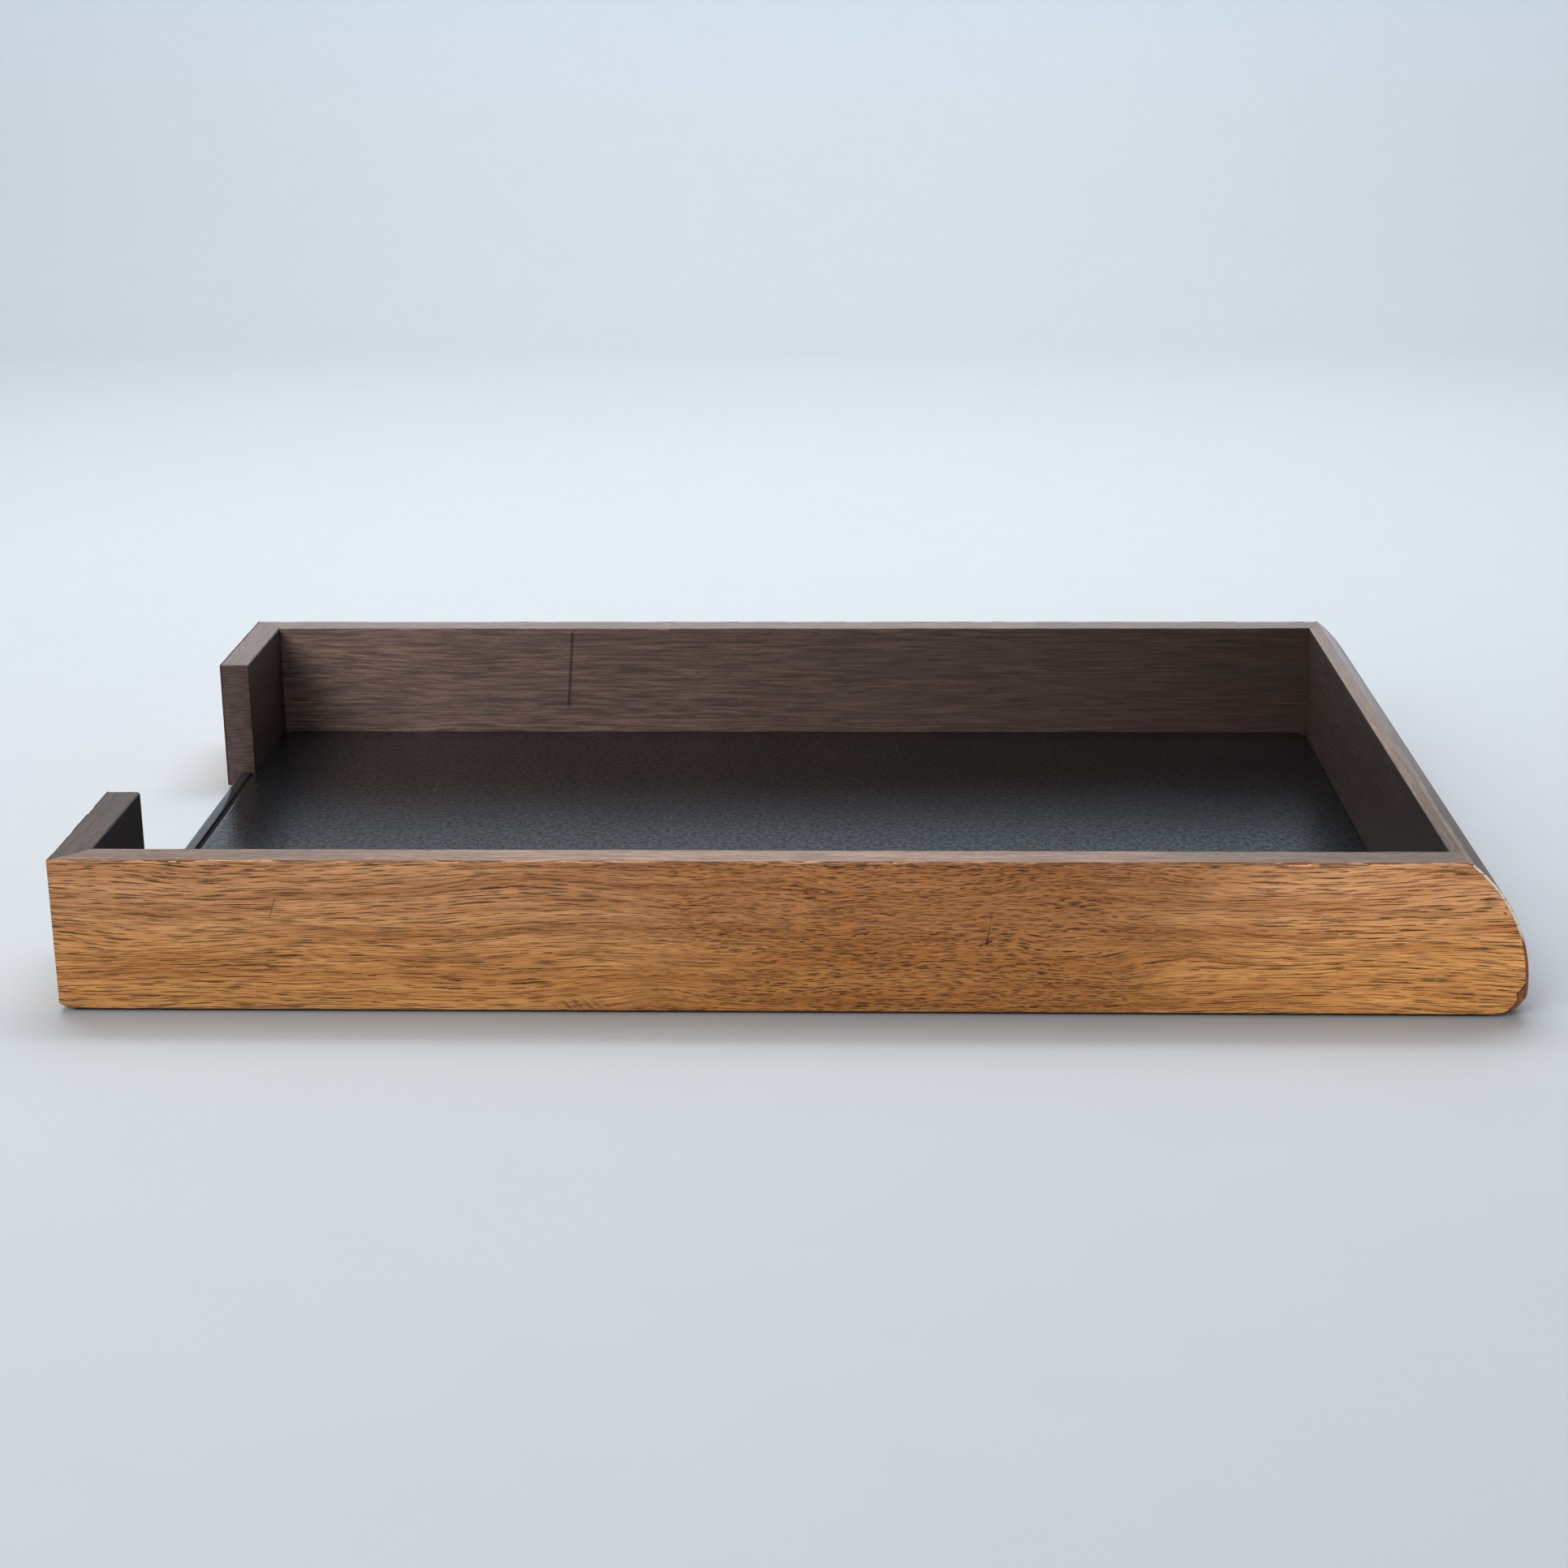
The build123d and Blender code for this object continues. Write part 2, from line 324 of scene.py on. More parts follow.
# %% Make the face veneer
GOLD_DEEP, GOLD_PALE = (0.53, 0.212, 0.056), (0.82, 0.390, 0.118)
ROSE_DEEP, ROSE_PALE = (0.48, 0.200, 0.072), (0.74, 0.360, 0.155)
AMBER = (0.42, 0.145, 0.030)
FLECK_PALE = (0.95, 0.58, 0.28)
DIRT_OLIVE = (0.13, 0.080, 0.036)
PORE_BLACK = (0.026, 0.013, 0.008)
CHIP_SHADE_DARK, EDGE_RUBBED_LIT = (0.12, 0.055, 0.030), (0.62, 0.34, 0.17)
CHIP_SHADOW_BLACK = (0.025, 0.013, 0.009)
RETURN_EDGE, RAIL_EDGE = (0.060, 0.034, 0.026), (0.20, 0.075, 0.03)


def face_veneer_finish(name, along_y=False, swirl=True, seed=0.0):
    """Golden open-grained veneer, with its grain along X, or along Y on the returns."""
    material, shader, (x, y, z) = new_material(name)
    u, depth = (y, x) if along_y else (x, y)
    v = z - wall_bottom

    def blot(height, size, number, *fineness):
        """Noise on the sheet. height is v, or the bent grain; size is the patches' length and height."""
        return cloud(u, height, depth, (*size, SHEET_DEEP), seed + number, *fineness)

    edge = (blot(v, (26.0, 9.0), 3, 1.0) - 0.5) * 90.0
    middle = step(u + edge, -60.0, 0.0) * (1 - step(u + edge, 66.0, 132.0)) if swirl else u * 0.0
    drift = (blot(v, (85.0, 16.0), 1, 1.0) - 0.5) * 9.0
    curl = (blot(v, (19.0, 7.0), 2, 1.5) - 0.5) * 2.6
    swirls = (blot(v, (24.0, 9.0), 18, 1.0) - 0.5) * 3.6
    grain = v + drift + curl * 0.35 + swirls * middle

    crowd = step(blot(grain, (24.0, 2.1), 4, 2.0, 0.55), 0.34, 0.62)
    pores = open_pores(u, grain, middle, crowd * 0.60 + 0.70, seed)
    hairlines = step(blot(grain, (11.0, 0.17), 6, 1.5), 0.56, 0.66)
    pores = pores.math("MAXIMUM", pores, hairlines * (0.22 + crowd * 0.22))
    hairs = blot(grain, (14.0, 0.24), 9, 3.0, 0.6)
    flecks = pores_in_cells(u, grain, (5.6, 1.40), (1.3, 0.10), seed + 10)
    smudge = step(blot(grain, (7.0, 1.3), 11), 0.56, 0.72) * step(blot(v, (30.0, 9.0), 12), 0.45, 0.62)
    tone = blot(grain, (60.0, 4.0), 13, 3.0)

    golden = mix(step(tone, 0.3, 0.7), GOLD_DEEP, GOLD_PALE)
    rosy = mix(step(tone, 0.3, 0.7), ROSE_DEEP, ROSE_PALE)
    # Golden lower down and rosier higher up: painted warm bounce light from below on the lower part.
    ground = mix(step(v + (tone - 0.5) * 12.0, 9.0, 36.0), golden, rosy)
    ground = tint(ground, (0.72 + step(hairs, 0.30, 0.70) * 0.34) * (1 + step(u, 60.0, 160.0) * 0.44))
    ground = mix(middle * 0.55, ground, AMBER)
    # Pale flecks between the pores: pale fibres, partly painted glints.
    ground = mix(flecks * 0.40, ground, FLECK_PALE)
    ground = mix(smudge * 0.50, ground, DIRT_OLIVE)
    ground = mix(pores * 0.93, ground, PORE_BLACK)
    heights = 1 - pores * 0.85 - hairs * 0.12

    rub = blot(v, (9.0, 1.2), 14, 3.0, 0.65)
    stretch = blot(v, (30.0, 30.0), 15, 3.0, 0.65)
    # Along the top edge a ragged band: painted shade under the chips where dark, rubbed veneer with a
    # painted highlight where pale.
    worn = step(v + (rub - 0.5) * 2.0, wall_height - 0.50, wall_height - 0.1)
    bright = step(stretch, 0.50, 0.60) * step(rub, 0.42, 0.54)
    ground = mix(worn * 0.8, ground, mix(bright, CHIP_SHADE_DARK, EDGE_RUBBED_LIT))
    # A broken dark line just under the top edge: painted shadow below the chipped veneer.
    chip_shadow_line = step(blot(v, (7.0, 0.7), 16, 2.0, 0.6), 0.56, 0.60)
    chip_shadow_line = chip_shadow_line * bump_of(v + (stretch - 0.5) * 1.5, wall_height - 1.1, 0.8)
    ground = mix(chip_shadow_line * 0.85, ground, CHIP_SHADOW_BLACK)
    if along_y:
        ground = mix(facing(x, 0), RETURN_EDGE, ground)
    else:
        ground = mix((1 - facing(x, 1)) * (1 - step(v, 38.0, 40.0)), ground, RAIL_EDGE)
        ground, heights = near_face_marks(ground, heights, (x, y, z))

    roughness = 0.50 + pores * 0.3 - flecks * 0.15 + (rub - 0.5) * 0.2
    connect(shader, Base_Color=ground, Roughness=roughness, Normal=relief(heights, 0.16, 0.8))
    connect(shader, Specular_IOR_Level=0.25)
    return material


face_finish = face_veneer_finish("golden face veneer")
return_face_finish = face_veneer_finish("golden veneer on the returns", along_y=True, swirl=False, seed=4.0)
print("face veneers:", face_finish.name, "/", return_face_finish.name)

# %% [markdown]
# ## Stained hardwood
#
# Inside and on top, the solid wood was stained a dark walnut. Hands and light have faded the tops
# to a greyish brown, while the inner faces kept their depth, with fine reddish streaks along the
# grain. A face that looks up is told from its normal, so one recipe serves every wall. Each wall
# still has its own tones: the returns are darkened to nearly black, and the far rail darkens from
# brown to dark along its length.

# %% Make the stained wood
STREAK_DARK, STREAK_RED = (0.056, 0.038, 0.034), (0.190, 0.116, 0.092)
BAND_INSIDE, BAND_ON_TOP = (0.085, 0.062, 0.056), (0.130, 0.092, 0.075)
INNER_PORE, TOP_PORE = (0.024, 0.015, 0.012), (0.045, 0.028, 0.022)
CALM_BROWN = (0.088, 0.058, 0.049)
TOP_DARK, TOP_FADED = (0.172, 0.102, 0.068), (0.360, 0.230, 0.154)
PIT_DARK = (0.040, 0.025, 0.020)
SKY_SHEEN_GREY = (0.215, 0.208, 0.222)
END_GRAIN_DARK, END_GRAIN_PALE = (0.062, 0.038, 0.033), (0.125, 0.076, 0.063)
RAW_RED, RAW_TAN = (0.16, 0.050, 0.022), (0.42, 0.17, 0.08)


def stained_finish(name, seed, inner_tones, top_tones, along_y=True, calm=(0.0, 0.0), marks=None):
    """Dark stained wood with its grain along X or Y. Tones and calm run along the grain: inner_tones
    and calm from the low end to the high end, and top_tones over the middle as well. Where calm is
    1, the inner face shows no figure."""
    material, shader, (x, y, z) = new_material(name)
    u, depth, half_length = (y, x, side_y) if along_y else (x, y, nose_x)
    v = z - wall_bottom
    along = u / (2 * half_length) + 0.5

    drift = (cloud(u, v, depth, (70.0, 14.0, 14.0), seed + 1, 1.0) - 0.5) * 5.0
    streaks = cloud(u, v + drift, depth + drift, (18.0, 0.9, 0.9), seed + 2, 4.0, 0.65)
    lines = cloud(u, v + drift, depth + drift, (5.0, 0.32, 0.32), seed + 3, 2.0, 0.6)
    bands = cloud(u, v + drift, depth, (70.0, 5.0, 5.0), seed + 4, 2.0)
    pores = pores_in_cells(u, v + depth + drift, (6.0, 0.85), (3.0, 0.17), seed + 5)
    pores = pores.math("MAXIMUM", pores, step(lines, 0.60, 0.68) * 0.7)

    inner = mix(step(streaks, 0.34, 0.70), STREAK_DARK, STREAK_RED)
    inner = mix(step(bands, 0.40, 0.7) * 0.45, inner, BAND_INSIDE)
    inner = mix(pores * 0.55, inner, INNER_PORE)
    inner = mix(calm[0] + along * (calm[1] - calm[0]), inner, CALM_BROWN)
    inner = tint(inner, inner_tones[0] + along * (inner_tones[1] - inner_tones[0]))

    top = mix(step(streaks, 0.32, 0.72), TOP_DARK, TOP_FADED)
    top = mix(step(bands, 0.45, 0.75) * 0.4, top, BAND_ON_TOP)
    top = mix(pores * (0.25 if along_y else 0.65), top, TOP_PORE)
    pits = pores_in_cells(x, y, (2.6, 2.2), (0.45, 0.20), seed + 6)
    top = mix(pits * 0.65, top, PIT_DARK)
    low_half = step(along, 0.0, 0.5) * (top_tones[1] - top_tones[0])
    high_half = step(along, 0.5, 1.0) * (top_tones[2] - top_tones[1])
    top = tint(top, low_half + high_half + top_tones[0])
    # Tops grow greyer towards the far side: a painted sheen, the pale sky reflected at a grazing angle.
    top = mix(step(y, -100.0, 120.0) * 0.35, top, SKY_SHEEN_GREY)
    up = facing(x, 2)
    colour = mix(up, inner, top)
    if along_y:
        ribs = cloud(x, v, y, (4.5, 0.6, 4.5), seed + 7, 3.0, 0.6)
        end_grain = mix(step(ribs, 0.35, 0.65), END_GRAIN_DARK, END_GRAIN_PALE)
        colour = mix(facing(x, 1), colour, end_grain)

    raw = step(abs(y), side_y - face_skin - 0.25, side_y - face_skin - 0.12)
    colour = mix(raw * (1 - up), colour, mix(streaks, RAW_RED, RAW_TAN))

    height = 1 - (pores * 0.5 + streaks * 0.3) * (up * 0.7 + 0.3) - pits * up * 0.5
    if marks:
        colour, height = marks(colour, height, (x, y, z))
    roughness = 0.44 + pores * 0.25 + (streaks - 0.5) * 0.3
    connect(shader, Base_Color=colour, Roughness=roughness, Normal=relief(height, 0.12, 0.8))
    connect(shader, Specular_IOR_Level=0.38)
    return material


SCRATCH_BLACK, SMUDGE_BLACK = (0.012, 0.009, 0.008), (0.015, 0.011, 0.010)


def far_rail_marks(colour, height, place):
    """A thin dark scratch down the far rail's inner face, with a smudge where it ends."""
    x, y, z = place
    v = z - wall_bottom
    lean = x + 81.5 + (v - 28.0) * -0.08
    down = step(v, 13.0, 17.0) * (1 - step(v, 39.0, 41.0))
    scratch = bump_of(lean, 0.0, 0.85) * down
    spot = bump_of(lean, 0.0, 1.6) * bump_of(v, 14.5, 2.5)
    colour = mix(scratch * 0.70, colour, SCRATCH_BLACK)
    colour = mix(spot * 0.6, colour, SMUDGE_BLACK)
    return colour, height - scratch * 0.8


stained = {
    "near_side_rail": stained_finish(
        "stained near rail", 1.0, (0.9, 0.7), (0.78, 1.25, 0.62), along_y=False
    ),
    "far_side_rail": stained_finish(
        "stained far rail", 2.0, (2.5, 0.45), (0.95, 0.9, 0.75),
        along_y=False, calm=(0.0, 0.6), marks=far_rail_marks,
    ),
    "near_front_return": stained_finish(
        "stained near return", 3.0, (0.20, 0.20), (0.30, 0.16, 0.60), calm=(0.5, 0.5)
    ),
    "far_front_return": stained_finish(
        "stained far return", 5.0, (0.45, 0.34), (0.76, 0.72, 0.66), calm=(0.6, 0.6)
    ),
    "rounded_end_block": stained_finish(
        "stained end block", 6.0, (0.22, 0.55), (0.38, 0.78, 1.0), calm=(0.6, 0.7)
    ),
}
print("stained walls:", len(stained))

# %% [markdown]
# ## The bent veneer, the liner and the small pieces
#
# The strip bent over the rounded end is smooth and dark, and its cut edges have been rubbed back to
# pale wood. The liner is a black leathercloth with a fine pebble grain. Its gloss is patchy, worn
# away in millimetre spots, so it mirrors what is behind the tray only softly. The sill is a glossy
# black edging, and felt covers the underside.

# %% Make the bent veneer
STRIP_EDGE_WIDTH = 0.99  # the strip's edge seen from above, cut aslant by the top, in millimetres
STRIP_DARK, STRIP_BROWN = (0.085, 0.058, 0.043), (0.150, 0.106, 0.080)
STRIP_BAND = (0.095, 0.075, 0.064)
CUT_TAN, CUT_PALE, CUT_RED = (0.40, 0.22, 0.12), (0.88, 0.79, 0.66), (0.24, 0.095, 0.045)
BACKDROP_SHEEN_GREY = (0.46, 0.46, 0.48)
FLAT_DARK, FLAT_PALE = (0.13, 0.088, 0.070), (0.29, 0.205, 0.165)
WORN_AND_LIT_GREY = (0.58, 0.54, 0.53)


def nose_finish():
    """Dark veneer bent over the end: grain across the tray, pale where its edges are rubbed, with a
    painted sheen and a painted highlight along its top.
    """
    material, shader, (x, y, z) = new_material("dark bent veneer")
    v = z - wall_bottom
    round_the_nose = v * 1.25
    lines = cloud(y, round_the_nose, x, (24.0, 0.45, 30.0), 8.0, 3.0, 0.6)
    bands = cloud(y, round_the_nose, x, (120.0, 7.0, 30.0), 9.0, 2.0)
    colour = mix(step(lines, 0.35, 0.7), STRIP_DARK, STRIP_BROWN)
    colour = mix(step(bands, 0.4, 0.7) * 0.5, colour, STRIP_BAND)

    rub = cloud(x, v, y, (2.2, 1.4, 8.0), 10.0, 3.0, 0.65)
    pale = mix(step(rub, 0.34, 0.46), CUT_TAN, CUT_PALE)
    colour = mix(facing(x, 1), colour, mix(step(v, 19.0, 24.0), CUT_RED, pale))

    # The upper part of the strip, more towards the far side, is painted pale grey: a painted sheen, the
    # backdrop reflected in the varnish.
    backdrop_sheen = step(y, -125.0, 110.0) * step(v, 31.0, 40.0) * (1 - facing(x, 1))
    colour = mix(backdrop_sheen * 0.50, colour, BACKDROP_SHEEN_GREY)
    rim = nose_low.x + STRIP_EDGE_WIDTH
    flat = (1 - step(x, rim - 0.06, rim + 0.02)) * step(v, wall_height - 0.8, wall_height - 0.4)
    colour = mix(flat, colour, mix(lines, FLAT_DARK, FLAT_PALE))
    # A broken pale grey line along the top of the strip: rubbed wood, partly a painted highlight on the
    # arris.
    rub_along = cloud(y, v, x, (24.0, 9.0, 9.0), 11.0, 4.0, 0.65)
    worn = bump_of(x, rim + 0.40, 0.45) * step(rub_along, 0.36, 0.62)
    colour = mix(worn * step(v, wall_height - 1.6, wall_height - 0.9) * 0.55, colour, WORN_AND_LIT_GREY)
    roughness = 0.48 - backdrop_sheen * 0.14 + (bands - 0.5) * 0.2
    connect(shader, Base_Color=colour, Roughness=roughness, Specular_IOR_Level=0.20)
    connect(shader, Normal=relief(lines, 0.04, 0.6))
    return material


bent_finish = nose_finish()
print("made", bent_finish.name)

# %% Make the liner
PEBBLES_PER_MM = 1.9
LINER_BLACK, LINER_LIFTED = (0.0034, 0.0034, 0.0040), (0.0060, 0.0058, 0.0066)
LINER_SPECK = (0.030, 0.029, 0.031)


def liner_finish():
    """Black leathercloth with a fine pebble grain and a patchy gloss."""
    material, shader, (x, y, z) = new_material("black grained liner")
    spot = x.node("ShaderNodeCombineXYZ", None, {0: x, 1: y, 2: z * 0.2})
    pebbles = x.node("ShaderNodeTexVoronoi", {"feature": "SMOOTH_F1"}, {
        "Vector": spot, "Scale": PEBBLES_PER_MM, "Smoothness": 0.5,
    })
    fine = cloud(x, y, z, (0.40, 0.40, 2.0), 2.0, 2.0, 0.6)
    slow = cloud(x, y, z, (60.0, 45.0, 20.0), 3.0, 2.0)
    colour = mix(step(slow, 0.3, 0.7), LINER_BLACK, LINER_LIFTED)
    colour = mix(step(fine, 0.60, 0.72) * 0.5, colour, LINER_SPECK)
    roughness = 0.18 + (slow - 0.5) * 0.06 + (fine - 0.5) * 0.16
    heights = pebbles * 0.9 + fine * 0.6
    gloss = step(cloud(x, y, z, (1.4, 1.9, 4.0), 4.0, 2.0, 0.6), 0.34, 0.66) * 0.50
    connect(shader, Base_Color=colour, Roughness=roughness, Normal=relief(heights, 0.07, 0.9))
    connect(shader, Specular_IOR_Level=0.18, Coat_Weight=gloss, Coat_Roughness=0.20)
    return material


liner = liner_finish()
print("made", liner.name)


# %% Make the small finishes
def sill_finish():
    """Glossy black edging, with a painted highlight greyed in patches along its outer arris."""
    material, shader, (x, y, z) = new_material("black sill edging")
    scuff = cloud(x, y, z, (1.2, 26.0, 1.2), 1.0, 4.0, 0.65)
    outer = 1 - step(x, sill_low.x + 0.1, sill_low.x + 0.5)
    black, arris_highlight_grey = (0.012, 0.012, 0.013), (0.16, 0.155, 0.15)
    # The outer arris is greyed in broken patches: a painted highlight of the backdrop on the glossy edge.
    colour = mix(outer * step(scuff, 0.4, 0.6) * 0.5, black, arris_highlight_grey)
    connect(shader, Base_Color=colour, Roughness=0.16 + step(scuff, 0.5, 0.8) * 0.2)
    connect(shader, Normal=relief(scuff, 0.02, 0.4))
    return material


def felt_finish():
    """Dark pressed felt."""
    material, shader, (x, y, z) = new_material("dark felt")
    fluff = cloud(x, y, z, (0.5, 0.5, 0.4), 1.0, 4.0, 0.7)
    deep, dusty = (0.010, 0.011, 0.009), (0.040, 0.042, 0.034)
    colour = mix(fluff, deep, dusty)
    connect(shader, Base_Color=colour, Roughness=0.95, Sheen_Weight=0.3, Normal=relief(fluff, 0.2, 0.8))
    return material


def hardboard_finish():
    """Brown pressed fibre, mottled by its fibres, with painted shade blacking its upper edge in the groove
    behind the sill.
    """
    material, shader, (x, y, z) = new_material("hardboard")
    fibres = cloud(x, y, z, (1.4, 0.5, 0.5), 1.0, 4.0, 0.7)
    patches = cloud(x, y, z, (18.0, 12.0, 6.0), 2.0, 3.0)
    brown, tan, black = (0.11, 0.055, 0.026), (0.30, 0.175, 0.095), (0.010, 0.009, 0.009)
    colour = tint(mix(fibres, brown, tan), 0.75 + patches * 0.5)
    # The board's upper edge behind the sill is painted black: painted shade at the bottom of the groove.
    behind_sill = 1 - step(x, sill_high.x + 6.0, sill_high.x + 9.0)
    groove_shade = behind_sill * step(z, board_high.z - 1.0, board_high.z - 0.5)
    colour = mix(groove_shade, colour, black)
    connect(shader, Base_Color=colour, Roughness=0.88, Normal=relief(fibres, 0.06, 0.6))
    connect(shader, Specular_IOR_Level=0.08)
    return material


def birch_finish():
    """Plain birch for the hidden splines and dowels."""
    material, shader, (x, y, z) = new_material("plain birch")
    grain = cloud(x, y, z, (0.8, 9.0, 0.8), 1.0, 3.0, 0.6)
    honey, cream = (0.52, 0.36, 0.20), (0.78, 0.60, 0.40)
    colour = mix(grain, honey, cream)
    connect(shader, Base_Color=colour, Roughness=0.62, Normal=relief(grain, 0.04, 0.5))
    return material


def pin_finish():
    """Bright drawn wire, a little tarnished."""
    material, shader, (x, y, z) = new_material("drawn steel wire")
    tarnish = cloud(x, y, z, (0.5, 0.5, 2.0), 1.0, 3.0, 0.6)
    bright, rusty = (0.56, 0.55, 0.53), (0.24, 0.17, 0.12)
    colour = mix(step(tarnish, 0.5, 0.75), bright, rusty)
    connect(shader, Base_Color=colour, Metallic=1.0, Roughness=0.30 + tarnish * 0.2)
    return material


sill_black = sill_finish()
felt_dark = felt_finish()
hardboard = hardboard_finish()
birch = birch_finish()
pin_steel = pin_finish()
print("materials so far:", len(bpy.data.materials))

# %% [markdown]
# ## From rings of points to a piece
#
# Every wall is swept: one cross-section is drawn again and again along the wall, each time a
# little different, and neighbouring rings are joined by faces. The small differences are what makes
# an old edge believable, because its rounding comes and goes. Two flat caps close the ends.

# %% Build closed meshes
def smooth_random(place, size, seed):
    """A smooth random number between about -1 and 1 that changes over size millimetres."""
    return noise.noise(Vector((place / size, seed * 7.31, seed * 2.17)))


def show(name, content):
    """Put a mesh, a lamp or a lens into the scene as an object, and return the object."""
    made = bpy.data.objects.new(name, content)
    bpy.context.scene.collection.objects.link(made)
    return made


MERGE_WITHIN = 0.002  # points of a drawn mesh closer than this, in millimetres, become one
SHARP_FROM = math.radians(32)  # edges that turn by more than this stay crisp


def finish_piece(name, points, faces, material, node):
    """Make a closed piece in the frame's metres, stand it for its CAD node and give it its finish."""
    mesh = bpy.data.meshes.new(name)
    mesh.from_pydata([Vector(point) * MM for point in points], [], faces)
    shell = bmesh.new()
    shell.from_mesh(mesh)
    bmesh.ops.remove_doubles(shell, verts=shell.verts, dist=MERGE_WITHIN * MM)
    caps = [face for face in shell.faces if len(face.verts) > 4]
    bmesh.ops.triangulate(shell, faces=caps, ngon_method="BEAUTY")
    bmesh.ops.recalc_face_normals(shell, faces=shell.faces)
    open_edges = sum(1 for rim in shell.edges if len(rim.link_faces) != 2)
    shell.to_mesh(mesh)
    shell.free()
    mesh.shade_smooth()
    mesh.set_sharp_from_angle(angle=SHARP_FROM)
    mesh.materials.append(material)
    piece = show(name, mesh)
    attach(piece, "root")
    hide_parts(node)
    print(f"{name}: {len(mesh.polygons)} faces, {open_edges} open edges")
    return piece


def sweep(rings):
    """Points and faces of a closed tube through rings of equal length, with a cap at each end."""
    count = len(rings[0])
    points = [point for ring in rings for point in ring]
    faces = [tuple(range(count)), tuple(range(len(points) - count, len(points)))]
    for ring in range(len(rings) - 1):
        start = ring * count
        for k in range(count):
            after = (k + 1) % count
            faces.append((start + k, start + after, start + count + after, start + count + k))
    return points, faces


def grid_faces(wide, deep):
    """The square faces of a grid of points, deep rows of wide points each."""
    corners = [row * wide + column for row in range(deep - 1) for column in range(wide - 1)]
    return [(k, k + 1, k + wide + 1, k + wide) for k in corners]


def sheet_faces(wide, deep):
    """Faces of a thin sheet: its front grid, the same grid behind it, and the rim between them."""
    back = wide * deep
    faces = []
    for a, b, c, d in grid_faces(wide, deep):
        faces.append((a, b, c, d))
        faces.append((back + a, back + d, back + c, back + b))
    rim = list(range(wide)) + [row * wide + wide - 1 for row in range(1, deep)]
    rim += [(deep - 1) * wide + column for column in range(wide - 2, -1, -1)]
    rim += [row * wide for row in range(deep - 2, 0, -1)]
    for k, after in zip(rim, rim[1:] + rim[:1]):
        faces.append((k, back + k, back + after, after))
    return faces


def rounded_loop(corners, steps=4):
    """Corners (a, b, radius) in order, each one rounded; a radius of 0 is a plain point."""
    loop = []
    for index, (a, b, radius) in enumerate(corners):
        here = Vector((a, b))
        if radius == 0:
            loop.append(here)
            continue
        before = Vector(corners[index - 1][:2])
        after = Vector(corners[(index + 1) % len(corners)][:2])
        arm_in = (before - here).normalized() * radius
        arm_out = (after - here).normalized() * radius
        for part in range(steps + 1):
            turn = part / steps * math.pi / 2
            loop.append(here + arm_in * (1 - math.sin(turn)) + arm_out * (1 - math.cos(turn)))
    return loop


# %% [markdown]
# ## The line of the rounded end
#
# Seen from the side, the end drops from the top in one big curve of 42 mm radius, runs straight
# down for a millimetre and turns under in a small heel. One function gives how far the wall
# reaches at each height, and the walls, their veneers and the bent strip all ask it.

# %% Follow the nose
HEEL_TURNS = range(12, 91, 13)  # degrees round the heel at which it is drawn
BOW_STEPS = 16


def nose_reach(v, skin=0.0):
    """How far the wall reaches at height v, set in by skin above the heel."""
    if v < HEEL_RADIUS:
        heel = side_length - HEEL_RADIUS + math.sqrt(max(0.0, HEEL_RADIUS**2 - (HEEL_RADIUS - v) ** 2))
        return min(heel, side_length - skin)
    rise = max(0.0, v - NOSE_CENTRE_HEIGHT)
    return side_length - NOSE_RADIUS + math.sqrt((NOSE_RADIUS - skin) ** 2 - rise**2)


def nose_heights():
    """Heights at which the end is drawn, close together where it turns."""
    heel = [HEEL_RADIUS * (1 - math.cos(math.radians(turn))) for turn in HEEL_TURNS]
    top_turn = math.asin((wall_height - NOSE_CENTRE_HEIGHT) / NOSE_RADIUS)
    turns = [top_turn * part / BOW_STEPS for part in range(BOW_STEPS)]
    bow = [NOSE_CENTRE_HEIGHT + NOSE_RADIUS * math.sin(turn) for turn in turns]
    return heel + bow


def lift_worn_corner(u, v, w, wear):
    """Raise the underside where the outer bottom corner has been knocked round. wear is how far
    from the corner the loss reaches, and how far up it goes at the corner itself."""
    reach, rise = wear
    away = math.hypot(u, w)
    if away >= reach:
        return v
    return max(v, rise * (1 - math.sqrt(1 - (1 - away / reach) ** 2)))


CORNER_WEAR = {"near": (4.8, 2.4), "far": (2.0, 1.0)}
print("nose drawn at", len(nose_heights()), "heights")

# %% [markdown]
# ## Side rails and front returns
#
# A rail and a return are the same kind of wall: mitred at the outer corner, rebated underneath for
# the base board, and finished at the other end by the nose or by a square cut. The mitre is left
# open by a tenth of a millimetre at its very edge, which reads as the fine joint line.

# %% Draw the walls
RAIL_ARRIS = 0.42  # the rounding of a rail's inner top edge, in millimetres
RETURN_ARRIS = 0.75
BLOCK_ARRIS = 0.40
FREE_EDGE = 0.45  # the rounding of a return's free end
CRISP = 0.12  # the rounding of an edge that has not been handled
MITRE_OPENING = 0.10  # how far the joint stands open, and over what length
MITRE_DEPTH = 0.15
WALL_PITCH = 1.6  # between the rings of a wall
TOP_MARGIN = 0.6  # the nose's heights stay this far from a wall's edges


def put_on(wall):
    """The function that places a wall's (u, v, w) on the tray."""
    side = -1 if wall.startswith("near") else 1
    if wall.endswith("return"):
        return lambda u, v, w: (front_x + w, side * (side_y - u), wall_bottom + v)
    return lambda u, v, w: (front_x + u, side * (side_y - w), wall_bottom + v)


def ease(distance, radius):
    """How far a rounded edge has fallen away at a distance from it."""
    if distance >= radius:
        return 0.0
    return radius - math.sqrt(radius**2 - (radius - distance) ** 2)


def spread(length, pitch, ends):
    """Places from 0 to length: pitch apart, with finer ones at both ends."""
    count = max(2, round((length - 2 * ends[-1]) / pitch))
    middle = [ends[-1] + (length - 2 * ends[-1]) * part / count for part in range(1, count)]
    return [0.0, *ends, *middle, *[length - end for end in reversed(ends)], length]


def dents_at(places):
    """A function for the extra rounding of a few knocks, each a place, half width and depth."""
    def depth(u):
        return sum(deep * math.exp(-(((u - middle) / half) ** 2)) for middle, half, deep in places)
    return depth


